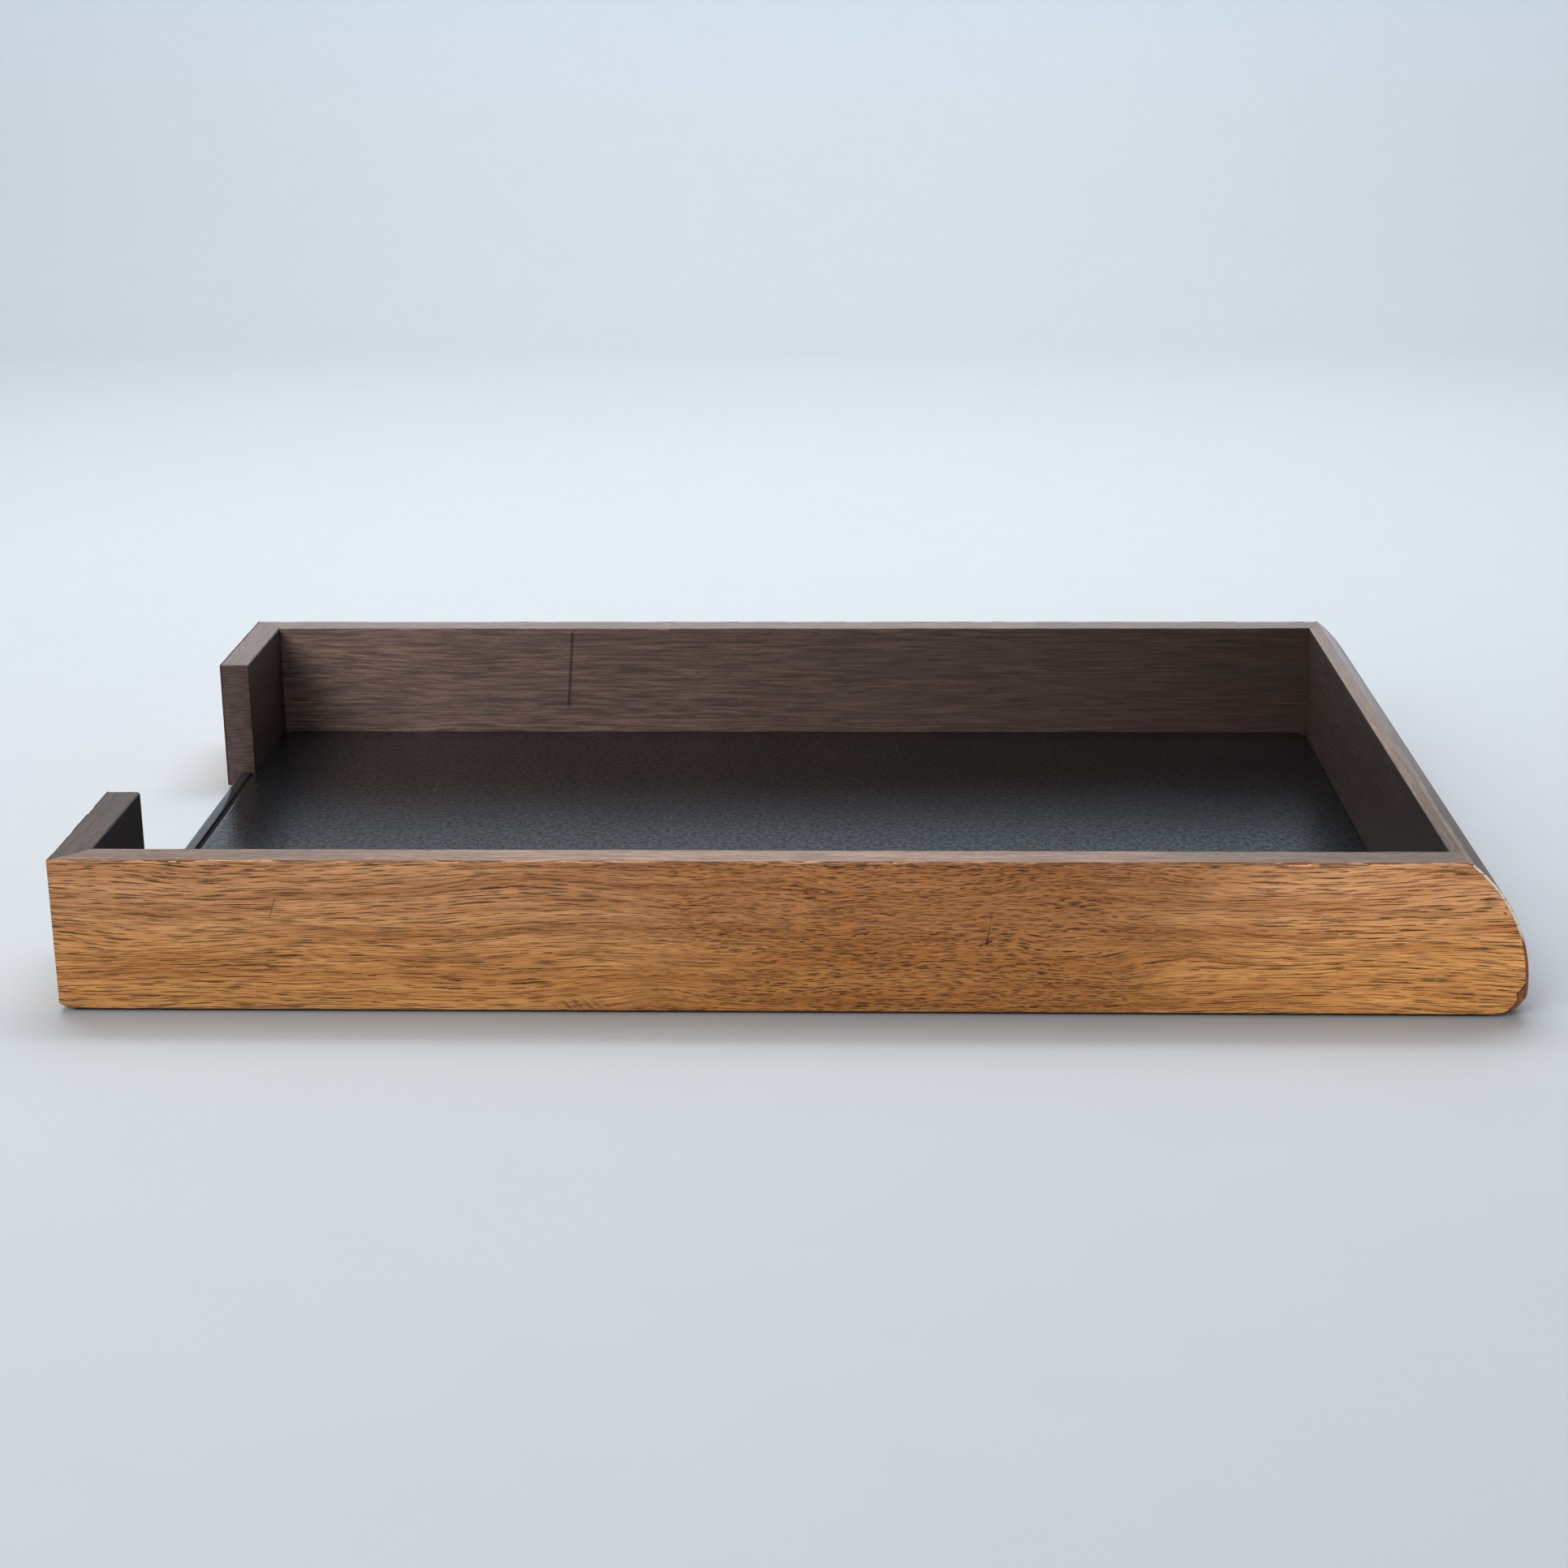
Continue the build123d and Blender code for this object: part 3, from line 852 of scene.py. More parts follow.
def wall_rings(wall, reach, arris, dents, seed):
    """Rings of one wall, from its mitre to its far end. reach gives its length at a height."""
    place = put_on(wall)
    curved = not wall.endswith("return")
    heights = nose_heights() if curved else []
    heights = [v for v in heights if TOP_MARGIN < v < wall_height - TOP_MARGIN]
    above_rebate = [v for v in heights if v > board_thick + TOP_MARGIN]
    longest = reach(wall_height / 4)
    rings = []
    for station in spread(longest, WALL_PITCH, (0.06, 0.15, 0.3, 0.6, 1.0)):
        share = station / longest
        open_mitre = MITRE_OPENING * max(0.0, 1 - station / MITRE_DEPTH)
        ease_end = 0.0 if curved else ease(longest - station, FREE_EDGE)
        unevenness = 0.45 * smooth_random(station, 9.0, seed) + 0.3 * smooth_random(station, 2.2, seed + 1)
        radius = max(0.08, arris * (1.0 + unevenness) + dents(station))
        if curved and station > longest - block_foot:
            radius = CRISP
        top = wall_height - open_mitre - ease_end + 0.03 * smooth_random(station, 30.0, seed + 2)
        inner = wall_thick - open_mitre - ease_end
        outer_radius = CRISP + 0.08 * abs(smooth_random(station, 4.0, seed + 3))
        corners = [(face_skin, 0.0, CRISP), (rebate_depth, 0.0, 0.1), (rebate_depth, board_thick, 0.0)]
        corners += [(inner, board_thick, 0.1)] + [(inner, v, 0.0) for v in above_rebate]
        top = min(top, wall_height)
        corners += [(inner, top, radius), (face_skin, top, outer_radius)]
        corners += [(face_skin, v, 0.0) for v in reversed(heights)]
        ring = []
        for w, v in rounded_loop(corners):
            u = w + (reach(v) - w) * share
            ring.append(place(u, lift_worn_corner(u, v, w, CORNER_WEAR[wall.split("_")[0]]), w))
        rings.append(ring)
    return rings


def rail_reach(v):
    """A rail ends at the nose, under the bent veneer."""
    return nose_reach(v, nose_skin)


def return_reach(v):
    """A return ends square at the finger gap."""
    return return_length


# Each knock is a place along the wall, half its width and its depth, in millimetres.
knocks = {
    "near_side_rail": dents_at([(96.0, 2.0, 0.25), (214.0, 1.2, 0.2), (301.0, 2.6, 0.2)]),
    "far_side_rail": dents_at([(142.0, 2.2, 0.55), (137.5, 1.0, 0.3), (266.0, 1.5, 0.25)]),
    "near_front_return": dents_at([(22.0, 1.5, 0.3), (51.0, 1.0, 0.35)]),
    "far_front_return": dents_at([(38.0, 1.6, 0.3)]),
}
for number, (node, dents) in enumerate(knocks.items()):
    wall = node.replace("_front", "")
    reach = return_reach if wall.endswith("return") else rail_reach
    arris = RETURN_ARRIS if wall.endswith("return") else RAIL_ARRIS
    points, faces = sweep(wall_rings(wall, reach, arris, dents, number * 10.0 + 3.0))
    finish_piece(node + "_worn", points, faces, stained[node], node)

# %% [markdown]
# ## The rounded end block
#
# The thick end stands between the rails, so it is swept the other way, across the tray. Only its
# inner face, its narrow flat top and its arris show: the curve is under the bent veneer.

# %% Draw the end block
JOINT_OPENING = 0.08


def block_rings():
    """Rings of the end block from the near rail to the far one."""
    width = block_high.y - block_low.y
    back = block_low.x
    heights = nose_heights()
    dents = dents_at([(18.0, 1.4, 0.3), (99.0, 1.2, 0.25), (222.0, 1.0, 0.25)])
    rings = []
    for station in spread(width, WALL_PITCH, (0.06, 0.15, 0.4, 1.0)):
        unevenness = 0.5 * smooth_random(station, 8.0, 61.0)
        radius = max(0.1, BLOCK_ARRIS * (1.0 + unevenness) + dents(station))
        open_joint = JOINT_OPENING * max(0.0, 1 - min(station, width - station) / MITRE_DEPTH)
        top = wall_height - open_joint
        corners = [(back, top, radius), (back, board_thick, 0.1)]
        corners += [(back + rebate_depth, board_thick, 0.0), (back + rebate_depth, 0.0, 0.1)]
        corners += [(front_x + nose_reach(0.0, nose_skin), 0.0, 0.0)]
        corners += [(front_x + nose_reach(v, nose_skin), v, 0.0) for v in heights]
        corners += [(front_x + nose_reach(top, nose_skin), top, 0.0)]
        y = block_low.y + station
        rings.append([(x, y, wall_bottom + v) for x, v in rounded_loop(corners)])
    return rings


points, faces = sweep(block_rings())
finish_piece("rounded_end_block_worn", points, faces, stained["rounded_end_block"], "rounded_end_block")

# %% [markdown]
# ## The face veneers, chipped along their edges
#
# Veneer is brittle, so its edges tell the tray's age. Each sheet is a fine grid whose top edge dips
# in shallow splinters along the grain and whose lower rear corner has lost two millimetres. The
# grid's rows close up towards the edges, where the sheet rounds over.

# %% Draw a veneer sheet
SHEET_EDGE = 0.28  # how far a veneer's edge rounds over, in millimetres
HEEL_LOSS_TOP = 8.6  # the broken lower rear corner reaches this high


def splinters(length, count, deepest, seed, chosen=()):
    """A function for how deep the edge is chipped: random splinters and some chosen ones. A chip is
    its start, its length and its depth."""
    chance = random.Random(seed)
    chips = list(chosen)
    for _ in range(count):
        chips.append((chance.uniform(0, length), chance.uniform(2.5, 13.0), chance.uniform(0.12, deepest)))

    def depth(u):
        deep = 0.05 + 0.05 * smooth_random(u, 3.0, seed)
        for start, long, down in chips:
            share = (u - start) / long
            if 0 < share < 1:
                ragged = 1 + 0.35 * smooth_random(u, 0.9, seed + 1)
                deep = max(deep, down * min(1.0, 7 * share, 2.5 * (1 - share)) * ragged)
        return deep
    return depth


def lost_heel(v, lost, seed):
    """How much of the sheet is missing at its rear edge: a worn line, and the broken lower corner."""
    worn = 0.05 + 0.04 * smooth_random(v, 1.5, seed)
    if v >= HEEL_LOSS_TOP:
        return worn
    share = 1 - v / HEEL_LOSS_TOP
    ragged = 1 + 0.3 * smooth_random(v, 0.8, seed + 2)
    return worn + lost * min(1.0, 3.2 * share) * (1 - 0.25 * share) * ragged


def sheet_grid(place, reach, top_chips, wear, rows, columns):
    """Front and back grids of a sheet, joined round the edge, as points and faces."""
    start = SHEET_EDGE * (1 - math.sqrt(0.5))
    points = []
    for layer in range(2):
        for row in rows:
            for share in columns:
                first = start if layer == 0 else face_skin
                v = wall_height * row
                u = first + (reach(v) - first) * share
                low = 0.04 + 0.04 * smooth_random(u, 5.0, 5.0)
                high = wall_height - top_chips(u)
                v = low + (high - low) * row
                u = first + (reach(v) - first) * share
                edge = min(high - v, v - low, reach(v) - u)
                w = max(ease(edge, SHEET_EDGE), ease(u, SHEET_EDGE)) if layer == 0 else face_skin
                w = min(w, face_skin)
                points.append(place(u, lift_worn_corner(u, v, w, wear), w))
    return points, sheet_faces(len(columns), len(rows))


def close_at_ends(length, pitch, ends):
    """Shares from 0 to 1 for spread places."""
    return [place / length for place in spread(length, pitch, ends)]


EDGE_STEPS = (0.05, 0.12, 0.2, 0.35, 0.7)
ROW_PITCH = 1.9
COLUMN_PITCH = 0.8
HEEL_ROWS = (1.2, 1.8, 2.6, 3.4, 4.2, 5.0, 5.8, 6.6, 7.4, 8.2, 9.0, 10.0)
CHOSEN_CHIPS = {
    "near": [
        (24.0, 12.0, 0.5), (33.0, 7.0, 0.65), (101.0, 8.0, 0.45), (292.0, 24.0, 0.35), (318.0, 9.0, 0.6),
        (338.0, 14.0, 0.45),
    ],
    "far": [(60.0, 15.0, 0.4), (205.0, 9.0, 0.5)],
}
LOST_CORNER = {"near": 2.1, "far": 0.8}


def veneer_sheet(side, wall, reach, chips, rows, length, material):
    """Draw one face veneer, with its columns close together at both ends, and finish it."""
    columns = close_at_ends(length, COLUMN_PITCH, EDGE_STEPS)
    sheet = sheet_grid(put_on(f"{side}_{wall}"), reach, chips, CORNER_WEAR[side], rows, columns)
    finish_piece(f"{side}_{wall}_veneer_chipped", *sheet, material, f"{side}_{wall}_veneer")


for number, side in enumerate(("near", "far")):
    def veneer_reach(v, side=side, number=number):
        return nose_reach(v, nose_skin) - lost_heel(v, LOST_CORNER[side], 40.0 + number)

    chips = splinters(side_length, 30, 0.32, 17 + number, CHOSEN_CHIPS[side])
    tall = [v for v in spread(wall_height, ROW_PITCH, EDGE_STEPS) if v < 1.0 or v > 11.0]
    rows = sorted({v / wall_height for v in (*tall, *HEEL_ROWS)})
    veneer_sheet(side, "side", veneer_reach, chips, rows, side_length, face_finish)

    chips = splinters(return_length, 6, 0.3, 27 + number)
    rows = close_at_ends(wall_height, ROW_PITCH, EDGE_STEPS)
    veneer_sheet(side, "return", return_reach, chips, rows, return_length, return_face_finish)

# %% [markdown]
# ## The bent veneer over the nose
#
# One strip runs from the top arris down to where the heel was rounded over, and right across the
# tray. Its section is drawn once, from the same curves as the walls. Towards its two ends each
# point stops at its own place, so the cut edge is a little ragged.

# %% Draw the bent veneer
STRIP_PITCH = 2.0  # between the rings of the bent strip, and of the sill strip


def strip_section():
    """The strip's section in (x, v): the outer curve down to the feathered end and back up inside."""
    heel_end = HEEL_RADIUS - math.sqrt(HEEL_RADIUS**2 - (HEEL_RADIUS - nose_skin) ** 2)
    outer = [v for v in reversed(nose_heights()) if v > heel_end + 0.2]
    inner = [v for v in nose_heights() if v > heel_end + 0.6]
    corners = [(front_x + nose_reach(wall_height), wall_height, 0.3)]
    corners += [(front_x + nose_reach(v), v, 0.0) for v in outer]
    corners += [(front_x + nose_reach(heel_end), heel_end, 0.0)]
    corners += [(front_x + nose_reach(v, nose_skin), v, 0.0) for v in inner]
    corners += [(front_x + nose_reach(wall_height, nose_skin), wall_height, 0.0)]
    return rounded_loop(corners, steps=3)


def ragged_end(v, seed):
    """How far the strip's cut end stands back from the tray's side at height v."""
    return 0.06 + 0.10 * max(0.0, smooth_random(v, 2.4, seed)) + 0.05 * smooth_random(v, 0.7, seed + 1)


section = strip_section()
rings = []
for station in spread(2 * side_y, STRIP_PITCH, (0.04, 0.1, 0.2, 0.5)):
    share = station / (2 * side_y)
    set_in = ease(min(station, 2 * side_y - station), 0.2)
    ring = []
    for x, v in section:
        near_end = ragged_end(v, 81.0)
        far_end = ragged_end(v, 85.0)
        y = -side_y + near_end + (2 * side_y - near_end - far_end) * share
        rub = 0.05 * max(0.0, smooth_random(y, 6.0, 83.0)) if v > wall_height - 0.4 else 0.0
        ring.append((x - set_in * 0.5, y, wall_bottom + v - rub - set_in * 0.2))
    rings.append(ring)
finish_piece("rounded_end_veneer_bent", *sweep(rings), bent_finish, "rounded_end_veneer")

# %% [markdown]
# ## The liner and the sill
#
# The liner is a thin sheet with rounded corners. A square grid is pulled into the rounded shape at
# its corners, its rim rolls over, and its top is left very slightly wavy, because a glued sheet is
# never dead flat and its reflection shows that.

# %% Draw the liner
LINER_CORNER = 4.5
LINER_EDGE = 0.3  # the rounding of the rim
LINER_WAVE = 0.035
LINER_PITCH = 5.0


def pull_corner(x, y, half_x, half_y):
    """Move a point of a rectangle so that the rectangle's corners become round."""
    dx = abs(x) - (half_x - LINER_CORNER)
    dy = abs(y) - (half_y - LINER_CORNER)
    if dx <= 0 or dy <= 0:
        return x, y
    scale = max(dx, dy) / math.hypot(dx, dy)
    new_x = half_x - LINER_CORNER + dx * scale
    new_y = half_y - LINER_CORNER + dy * scale
    return math.copysign(new_x, x), math.copysign(new_y, y)


def liner_points():
    """Top and bottom grids of the liner and their faces."""
    middle = (liner_low + liner_high) / 2
    half = (liner_high - liner_low) / 2
    rim_steps = (0.05, 0.14, 0.3, 0.8, 1.6, 2.4, 3.2, 4.0, 4.6)
    xs = [place - half.x for place in spread(2 * half.x, LINER_PITCH, rim_steps)]
    ys = [place - half.y for place in spread(2 * half.y, LINER_PITCH, rim_steps)]
    points = []
    for layer in range(2):
        for y in ys:
            for x in xs:
                rim = min(half.x - abs(x), half.y - abs(y))
                px, py = pull_corner(x, y, half.x, half.y)
                wave = LINER_WAVE * noise.noise(Vector((x / 34.0, y / 26.0, 3.0))) - LINER_WAVE
                z = liner_high.z - ease(rim, LINER_EDGE) + wave if layer == 0 else liner_low.z
                points.append((middle.x + px, middle.y + py, z))
    return points, sheet_faces(len(xs), len(ys))


finish_piece("floor_liner_sheet", *liner_points(), liner, "floor_liner")

# %% Draw the sill strip
rings = []
for station in spread(sill_high.y - sill_low.y, STRIP_PITCH, (0.1, 0.4)):
    y = sill_low.y + station
    outer = 0.45 + 0.10 * smooth_random(station, 7.0, 91.0)
    inner = 0.22 + 0.06 * smooth_random(station, 5.0, 92.0)
    sway = 0.04 * smooth_random(station, 45.0, 93.0) - 0.04
    corners = [
        (sill_low.x, sill_low.z, 0.15),
        (sill_high.x, sill_low.z, 0.15),
        (sill_high.x, sill_high.z + sway, inner),
        (sill_low.x, sill_high.z + sway, outer),
    ]
    rings.append([(x, y, z) for x, z in rounded_loop(corners)])
finish_piece("sill_strip_edging", *sweep(rings), sill_black, "sill_strip")

# %% [markdown]
# ## Felt, with its fuzz
#
# The felt shows only as a dark soft line under the walls, and what makes it felt is the fuzz along
# its cut edge. Fuzz is thousands of alike fibres, which is work for Geometry Nodes: scatter points
# over the faces that look sideways, put one bent fibre on each, turn and size it at random, and
# turn the lot into a plain mesh.

# %% Helpers for Geometry Nodes
class Tree:
    """A Geometry Nodes tree with named inputs, ready to be given to a modifier."""

    def __init__(self, name, inputs):
        self.group = bpy.data.node_groups.new(name, "GeometryNodeTree")
        face = self.group.interface  # where the tree's inputs and outputs are listed
        face.new_socket("Geometry", in_out="INPUT", socket_type="NodeSocketGeometry")
        face.new_socket("Geometry", in_out="OUTPUT", socket_type="NodeSocketGeometry")
        for label, (kind, value) in inputs.items():
            face.new_socket(label, in_out="INPUT", socket_type=kind).default_value = value
        self.start = self.group.nodes.new("NodeGroupInput")
        self.end = self.group.nodes.new("NodeGroupOutput")

    def add(self, kind, settings=None, sockets=None):
        """Add a node: settings first, then its sockets from values or (node, output) pairs."""
        made = self.group.nodes.new(kind)
        for key, value in (settings or {}).items():
            setattr(made, key, value)
        for key, value in (sockets or {}).items():
            if isinstance(value, tuple) and isinstance(value[0], bpy.types.Node):
                self.group.links.new(value[0].outputs[value[1]], made.inputs[key])
            else:
                made.inputs[key].default_value = value
        return made

    def given(self, label):
        """One of the tree's named inputs, as a (node, output) pair."""
        return self.start, label

    def finish(self, geometry, material):
        """End the tree: real geometry in place of instances, with its material."""
        real = self.add("GeometryNodeRealizeInstances", None, {0: geometry})
        coated = self.add("GeometryNodeSetMaterial", None, {0: (real, 0), "Material": material})
        self.group.links.new(coated.outputs[0], self.end.inputs[0])


def grow(tree, base, name):
    """Run a tree on a base mesh and return the plain result."""
    host = show(name + "_host", base)
    modifier = host.modifiers.new("nodes", "NODES")
    modifier.node_group = tree.group
    graph = bpy.context.evaluated_depsgraph_get()
    mesh = bpy.data.meshes.new_from_object(host.evaluated_get(graph), depsgraph=graph)
    mesh.name = name
    bpy.data.objects.remove(host)
    return mesh


# %% Draw the felt itself
FELT_CORNER = 3.0
NOTCH_CORNER = 0.4
NOTCH_MARGIN = 1.5  # between the sill strip's edges and the notch's
FELT_PITCH = 2.0
# Each ring is a share of the felt's height and how far the edge stands back there.
FELT_EDGE = ((0.0, 0.25), (0.2, 0.08), (0.5, 0.0), (0.8, 0.06), (1.0, 0.2))


def felt_outline():
    """The felt's outline seen from above: round corners and a notch behind the finger gap."""
    notch_x = sill_low.x + NOTCH_MARGIN
    notch_y = -sill_low.y + NOTCH_MARGIN
    front, rear, near, far = felt_low.x, felt_high.x, felt_low.y, felt_high.y
    outer = [(front, near), (rear, near), (rear, far), (front, far)]
    notch = [(front, notch_y), (notch_x, notch_y), (notch_x, -notch_y), (front, -notch_y)]
    corners = [(x, y, FELT_CORNER) for x, y in outer] + [(x, y, NOTCH_CORNER) for x, y in notch]
    loop = rounded_loop(corners, steps=6)
    dense = []
    for here, after in zip(loop, loop[1:] + loop[:1]):
        cuts = max(1, round((after - here).length / FELT_PITCH))
        dense += [here.lerp(after, part / cuts) for part in range(cuts)]
    return dense


def felt_rings():
    """Rings of the felt from its underside up, its cut edge slightly bellied."""
    outline = felt_outline()
    centre = Vector(((felt_low.x + felt_high.x) / 2, 0.0))
    rings = []
    for height, shy in FELT_EDGE:
        ring = []
        for point in outline:
            inward = (centre - point).normalized()
            ripple = 0.08 + 0.08 * noise.noise(Vector((point.x / 3.0, point.y / 3.0, height * 2)))
            x, y = point + inward * (shy + ripple)
            ring.append((x, y, felt_low.z + height * (felt_high.z - felt_low.z)))
        rings.append(ring)
    return rings


felt = finish_piece("base_felt_sheet", *sweep(felt_rings()), felt_dark, "base_felt")

# %% Grow the fuzz
FIBRES_PER_SQUARE_METRE = 3.6e6
FIBRE_LENGTH = 0.9 * MM
FUZZ_SEED = 5

fuzz_tree = Tree("felt fuzz", {
    "Fibres per square metre": ("NodeSocketFloat", FIBRES_PER_SQUARE_METRE),
    "Fibre length": ("NodeSocketFloat", FIBRE_LENGTH),
    "Seed": ("NodeSocketInt", FUZZ_SEED),
})
normal = fuzz_tree.add("GeometryNodeInputNormal")
parts = fuzz_tree.add("ShaderNodeSeparateXYZ", None, {0: (normal, 0)})
flatness = fuzz_tree.add("ShaderNodeMath", {"operation": "ABSOLUTE"}, {0: (parts, 2)})
sideways = fuzz_tree.add("ShaderNodeMath", {"operation": "LESS_THAN"}, {0: (flatness, 0), 1: 0.8})
scatter = fuzz_tree.add("GeometryNodeDistributePointsOnFaces", None, {
    "Mesh": fuzz_tree.given("Geometry"), "Selection": (sideways, 0),
    "Density": fuzz_tree.given("Fibres per square metre"), "Seed": fuzz_tree.given("Seed"),
})
bend = fuzz_tree.add("GeometryNodeCurvePrimitiveBezierSegment", None, {
    "Resolution": 3, "Start": (0, 0, 0), "Start Handle": (0.0, 0.0, 0.4),
    "End Handle": (0.3, 0.1, 0.7), "End": (0.6, -0.1, 0.75),
})
round_fibre = fuzz_tree.add("GeometryNodeCurvePrimitiveCircle", None, {"Resolution": 3, "Radius": 0.035})
fibre = fuzz_tree.add("GeometryNodeCurveToMesh", None, {
    "Curve": (bend, 0), "Profile Curve": (round_fibre, 0), "Fill Caps": True,
})
twist = fuzz_tree.add("FunctionNodeRandomValue", {"data_type": "FLOAT_VECTOR"}, {
    0: (-1.1, -1.1, -3.14), 1: (1.1, 1.1, 3.14), "Seed": fuzz_tree.given("Seed"),
})
turn = fuzz_tree.add("FunctionNodeRotateRotation", None, {0: (scatter, "Rotation"), 1: (twist, 0)})
size = fuzz_tree.add("FunctionNodeRandomValue", {"data_type": "FLOAT"}, {2: 0.35, 3: 1.0, "Seed": 9})
length = fuzz_tree.add("ShaderNodeMath", {"operation": "MULTIPLY"}, {
    0: (size, 1), 1: fuzz_tree.given("Fibre length"),
})
fibres = fuzz_tree.add("GeometryNodeInstanceOnPoints", None, {
    "Points": (scatter, "Points"), "Instance": (fibre, 0), "Rotation": (turn, 0), "Scale": (length, 0),
})
fuzz_tree.finish((fibres, 0), felt_dark)

fuzz_mesh = grow(fuzz_tree, felt.data, "base_felt_fuzz")
for point in fuzz_mesh.vertices:
    point.co.z = min(max(point.co.z, 0.03 * MM), (wall_bottom + 0.1) * MM)
fuzz = show("base_felt_fuzz", fuzz_mesh)
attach(fuzz, "root")
print("felt fuzz:", len(fuzz_mesh.polygons), "faces")

# %% [markdown]
# ## Panel pins
#
# Nineteen fine pins hold the base board up in its rebate. They are alike, so one pin is drawn, a
# shank with a point and a tapered head, and Geometry Nodes puts it at every place. The places come
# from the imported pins: each separate island of that mesh is one pin.

# %% Find the pins
def island_middles(node):
    """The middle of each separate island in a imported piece's mesh, in metres."""
    islands = bmesh.new()
    islands.from_mesh(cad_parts[node].data)
    bmesh.ops.remove_doubles(islands, verts=islands.verts, dist=0.01 * MM)
    waiting = set(islands.verts)
    middles = []
    while waiting:
        front = [waiting.pop()]
        island = list(front)
        while front:
            here = front.pop()
            near = {rim.other_vert(here) for rim in here.link_edges} & waiting
            waiting -= near
            front += near
            island += near
        spots = [point.co for point in island]
        middles.append([(min(s[k] for s in spots) + max(s[k] for s in spots)) / 2 for k in range(3)])
    islands.free()
    return sorted(middles)


pin_low, pin_high = box_mm("base_pins")
pin_length = (pin_high.z - pin_low.z) * MM
pin_places = island_middles("base_pins")
print("pins:", len(pin_places), "each", round(pin_length / MM, 2), "mm long")

# %% Put a pin at every place
HEAD_RADIUS, HEAD_NECK, HEAD_TALL = 1.1 * MM, 0.8 * MM, 0.8 * MM
SHANK_RADIUS = 0.6 * MM
POINT_RADIUS, POINT_TALL = 0.1 * MM, 2.0 * MM

pin_tree = Tree("panel pins", {
    "Head radius": ("NodeSocketFloat", HEAD_RADIUS),
    "Shank radius": ("NodeSocketFloat", SHANK_RADIUS),
    "Shank length": ("NodeSocketFloat", pin_length - HEAD_TALL - POINT_TALL),
})
head = pin_tree.add("GeometryNodeMeshCone", None, {
    "Vertices": 20, "Radius Bottom": pin_tree.given("Head radius"), "Radius Top": HEAD_NECK,
    "Depth": HEAD_TALL,
})
shank = pin_tree.add("GeometryNodeMeshCylinder", None, {
    "Vertices": 14, "Radius": pin_tree.given("Shank radius"), "Depth": pin_tree.given("Shank length"),
})
tip = pin_tree.add("GeometryNodeMeshCone", None, {
    "Vertices": 14, "Radius Bottom": pin_tree.given("Shank radius"), "Radius Top": POINT_RADIUS,
    "Depth": POINT_TALL,
})
head_lift = -pin_length / 2
shank_lift = (HEAD_TALL - POINT_TALL) / 2
tip_lift = pin_length / 2 - POINT_TALL
moved_head, moved_shank, moved_tip = (
    pin_tree.add("GeometryNodeTransform", None, {0: (part, 0), "Translation": (0, 0, lift)})
    for part, lift in ((head, head_lift), (shank, shank_lift), (tip, tip_lift))
)
whole = pin_tree.add("GeometryNodeJoinGeometry", None, {0: (moved_tip, 0)})
for part in (moved_shank, moved_head):
    pin_tree.group.links.new(part.outputs[0], whole.inputs[0])
spin = pin_tree.add("FunctionNodeRandomValue", {"data_type": "FLOAT_VECTOR"}, {
    0: (0.0, 0.0, 0.0), 1: (0.0, 0.0, 3.14), "Seed": 3,
})
placed = pin_tree.add("GeometryNodeInstanceOnPoints", None, {
    "Points": pin_tree.given("Geometry"), "Instance": (whole, 0), "Rotation": (spin, 0),
})
pin_tree.finish((placed, 0), pin_steel)

places = bpy.data.meshes.new("pin_places")
places.from_pydata(pin_places, [], [])
pin_mesh = grow(pin_tree, places, "base_pins_drawn")
pins = show("base_pins_drawn", pin_mesh)
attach(pins, "root")
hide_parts("base_pins")
print("pins:", len(pin_mesh.polygons), "faces")

# %% [markdown]
# ## Pieces kept as they were packed
#
# The base board, the mitre splines and the end dowels are true in shape already: a cut panel, thin
# slips and turned pegs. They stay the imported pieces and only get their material.

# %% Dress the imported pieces
KEPT = {
    "base_board": hardboard,
    "near_mitre_spline": birch,
    "far_mitre_spline": birch,
    "near_end_dowels": birch,
    "far_end_dowels": birch,
}
for node, material in KEPT.items():
    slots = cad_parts[node].material_slots
    for holder in slots:
        holder.material = material
    print(node, "has", len(slots), "slot in", material.name)

# %% [markdown]
# ## Camera
#
# A long lens from about eighty centimetres sees the near side almost square on and looks down into
# the tray at seventeen degrees. The camera turns very slightly to the right and leans by half a
# degree, as a hand-held one does.

# %% Place the camera
CAMERA_PLACE = Vector((22.0, -782.7, 269.8)) * MM
YAW, PITCH, ROLL = (math.radians(angle) for angle in (-1.933, 17.471, -0.479))
LENS_MM = 62.14
SENSOR_MM = 36.0
ahead = Vector((math.sin(YAW), math.cos(YAW), 0.0))
right = Vector((math.cos(YAW), -math.sin(YAW), 0.0))
upward = Vector((0.0, 0.0, 1.0))
sight = ahead * math.cos(PITCH) - upward * math.sin(PITCH)
raised = upward * math.cos(PITCH) + ahead * math.sin(PITCH)
leaning_right = right * math.cos(ROLL) + raised * math.sin(ROLL)
leaning_up = raised * math.cos(ROLL) - right * math.sin(ROLL)

lens = bpy.data.cameras.new("long lens")
lens.lens = LENS_MM
lens.sensor_width = SENSOR_MM
lens.clip_start = 0.05
camera = show("camera", lens)
axes = Matrix((leaning_right, leaning_up, -sight)).transposed().to_4x4()
camera.matrix_world = Matrix.Translation(CAMERA_PLACE) @ axes
bpy.context.scene.camera = camera
print("camera", [round(value, 3) for value in CAMERA_PLACE])

# %% [markdown]
# ## Stage and light
#
# The stage is one sheet that lies flat and curves up behind, so no horizon line shows. A wide soft
# light hangs above and a little behind, which puts a sheen on every top edge and on the liner; a
# broad weak one at the front left fills the near side.

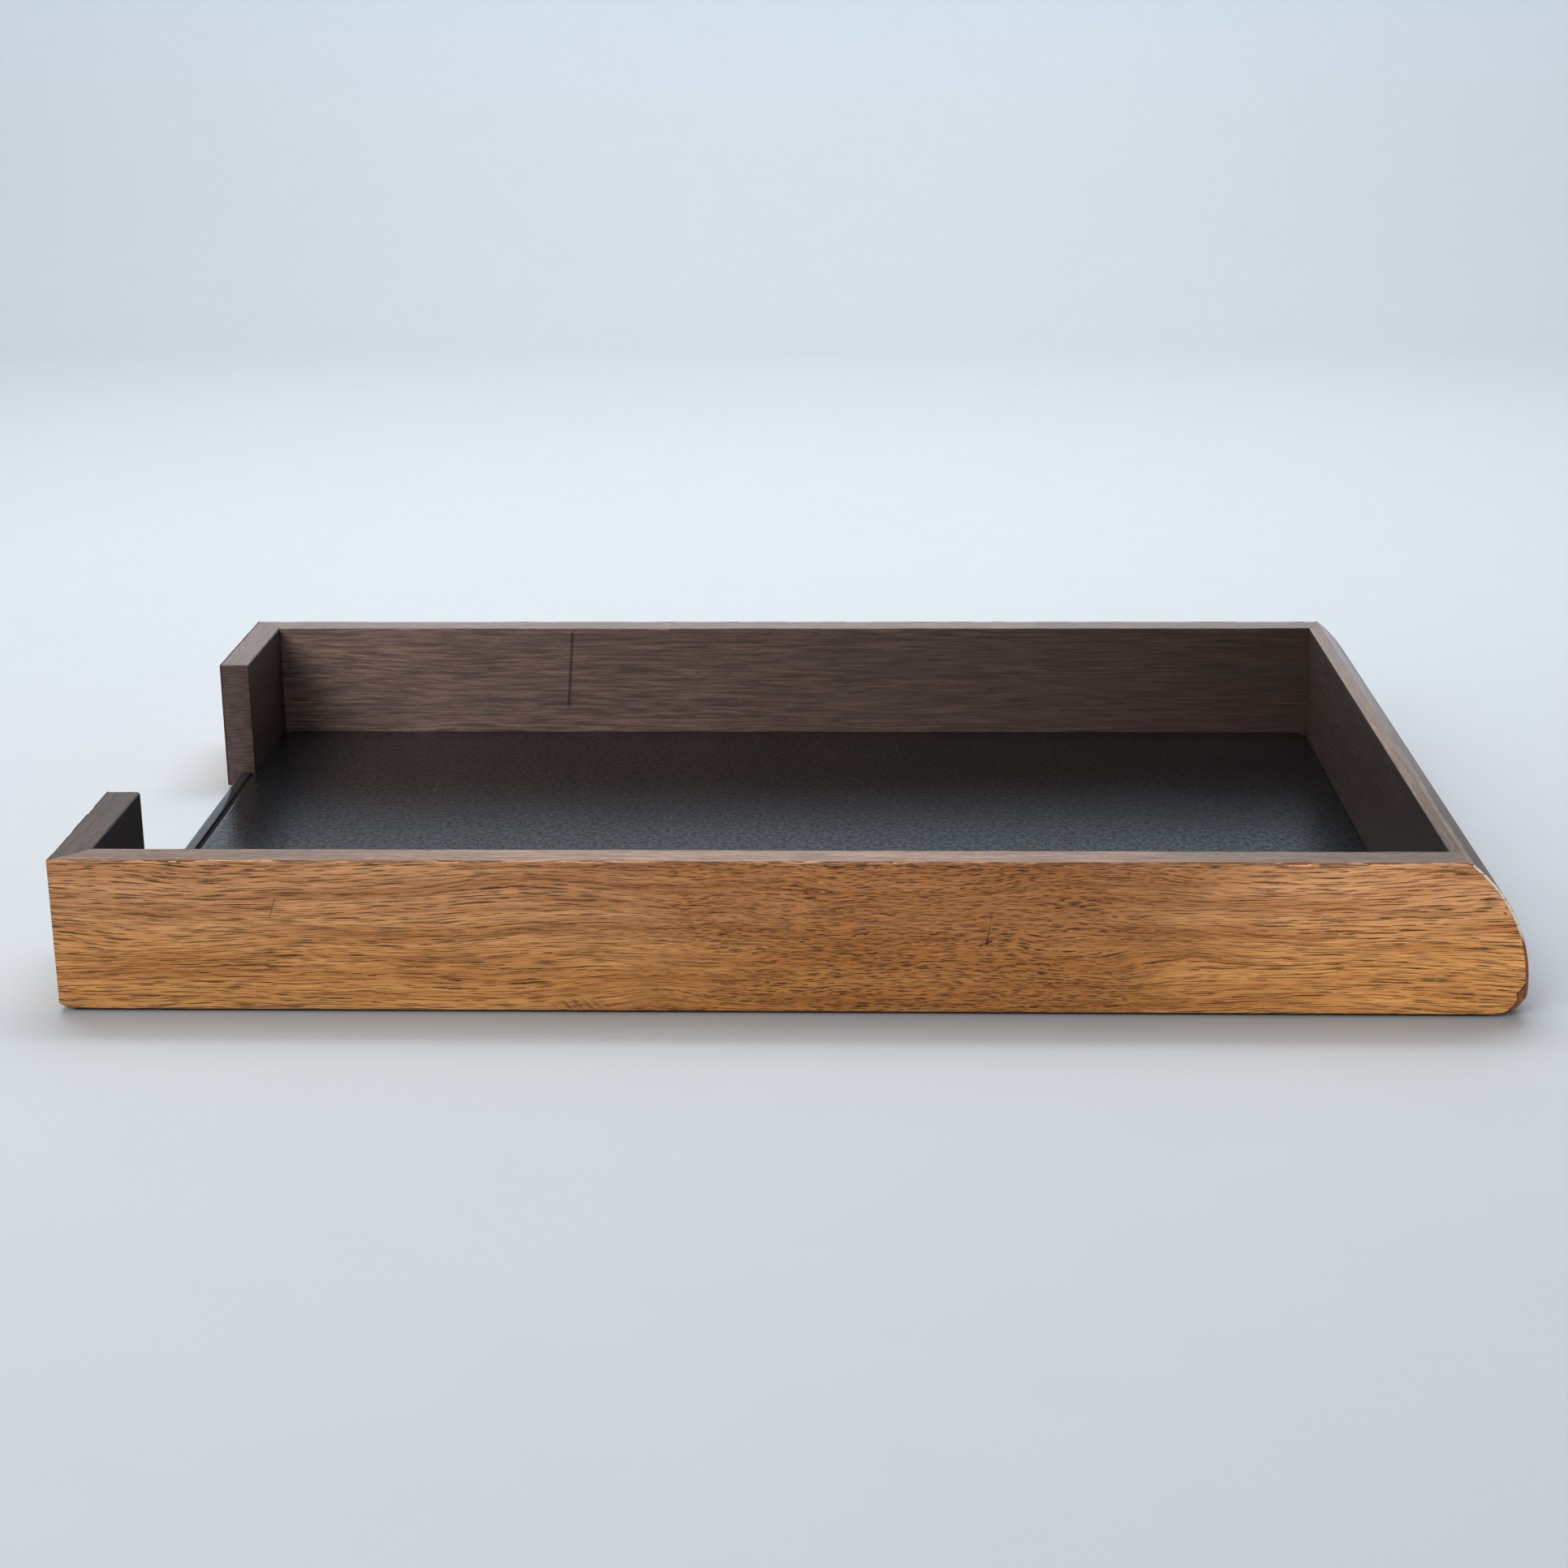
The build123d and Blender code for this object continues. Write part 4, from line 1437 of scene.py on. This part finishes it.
# %% Build the stage
STAGE_WALL_Y = 1.35
STAGE_TURN = 0.30
STAGE_STEPS = 16
STAGE_ACROSS = (-3.0, -1.5, 0.0, 1.5, 3.0)


def stage_section():
    """The sheet's line in (y, z), in metres: flat floor, a quarter turn, then straight up."""
    line = [(y, 0.0) for y in (-3.0, -1.5, -0.6, 0.0, 0.6)]
    for part in range(STAGE_STEPS + 1):
        angle = part / STAGE_STEPS * math.pi / 2
        y = STAGE_WALL_Y - STAGE_TURN + STAGE_TURN * math.sin(angle)
        line.append((y, STAGE_TURN - STAGE_TURN * math.cos(angle)))
    return line + [(STAGE_WALL_Y, z) for z in (1.0, 2.6)]


line = stage_section()
points = [(x, y, z) for y, z in line for x in STAGE_ACROSS]
faces = grid_faces(len(STAGE_ACROSS), len(line))
stage_mesh = bpy.data.meshes.new("stage")
stage_mesh.from_pydata(points, [], faces)
stage_mesh.shade_smooth()


def stage_finish():
    """Matt pale paper, a little bluer as it rises."""
    material, shader, (x, y, z) = new_material("pale paper stage")
    fibre = cloud(x, y, z, (30.0, 30.0, 30.0), 1.0, 3.0)
    floor_grey, wall_blue = (0.52, 0.545, 0.57), (0.60, 0.67, 0.74)
    colour = mix(step(z, 0.0, 420.0), floor_grey, wall_blue)
    connect(shader, Base_Color=tint(colour, 0.985 + fibre * 0.03), Roughness=0.8)
    connect(shader, Specular_IOR_Level=0.2)
    return material


stage_mesh.materials.append(stage_finish())
stage = show("stage", stage_mesh)
print("stage:", len(faces), "faces")

# %% Hang the lights
def soft_light(name, place, aim, size, power, colour):
    """A square lamp at a place, aimed at a point; sizes and places in metres, power in watts."""
    lamp = bpy.data.lights.new(name, "AREA")
    lamp.shape = "RECTANGLE"
    lamp.size, lamp.size_y = size
    lamp.energy = power
    lamp.color = colour
    holder = show(name, lamp)
    holder.location = place
    holder.rotation_euler = (Vector(aim) - Vector(place)).to_track_quat("-Z", "Y").to_euler()


TRAY = (0.0, 0.0, 0.0)
soft_light("overhead", (-0.10, 0.35, 1.15), TRAY, (1.3, 0.8), 11.0, (1.0, 0.985, 0.97))
soft_light("front left", (-0.9, -1.3, 0.9), TRAY, (1.0, 0.8), 16.0, (1.0, 0.98, 0.95))
soft_light("backdrop", (0.0, 0.55, 1.5), (0.0, STAGE_WALL_Y, 0.45), (1.8, 0.4), 17.0, (0.90, 0.96, 1.0))

ROOM_BLUE = (0.88, 0.93, 1.0, 1.0)
ROOM_STRENGTH = 0.26
world = bpy.data.worlds.new("room")
world.use_nodes = True
room = world.node_tree.nodes["Background"]
room.inputs["Color"].default_value = ROOM_BLUE
room.inputs["Strength"].default_value = ROOM_STRENGTH
bpy.context.scene.world = world
bpy.context.scene.view_settings.view_transform = "Standard"
print("lights:", len(bpy.data.lights))
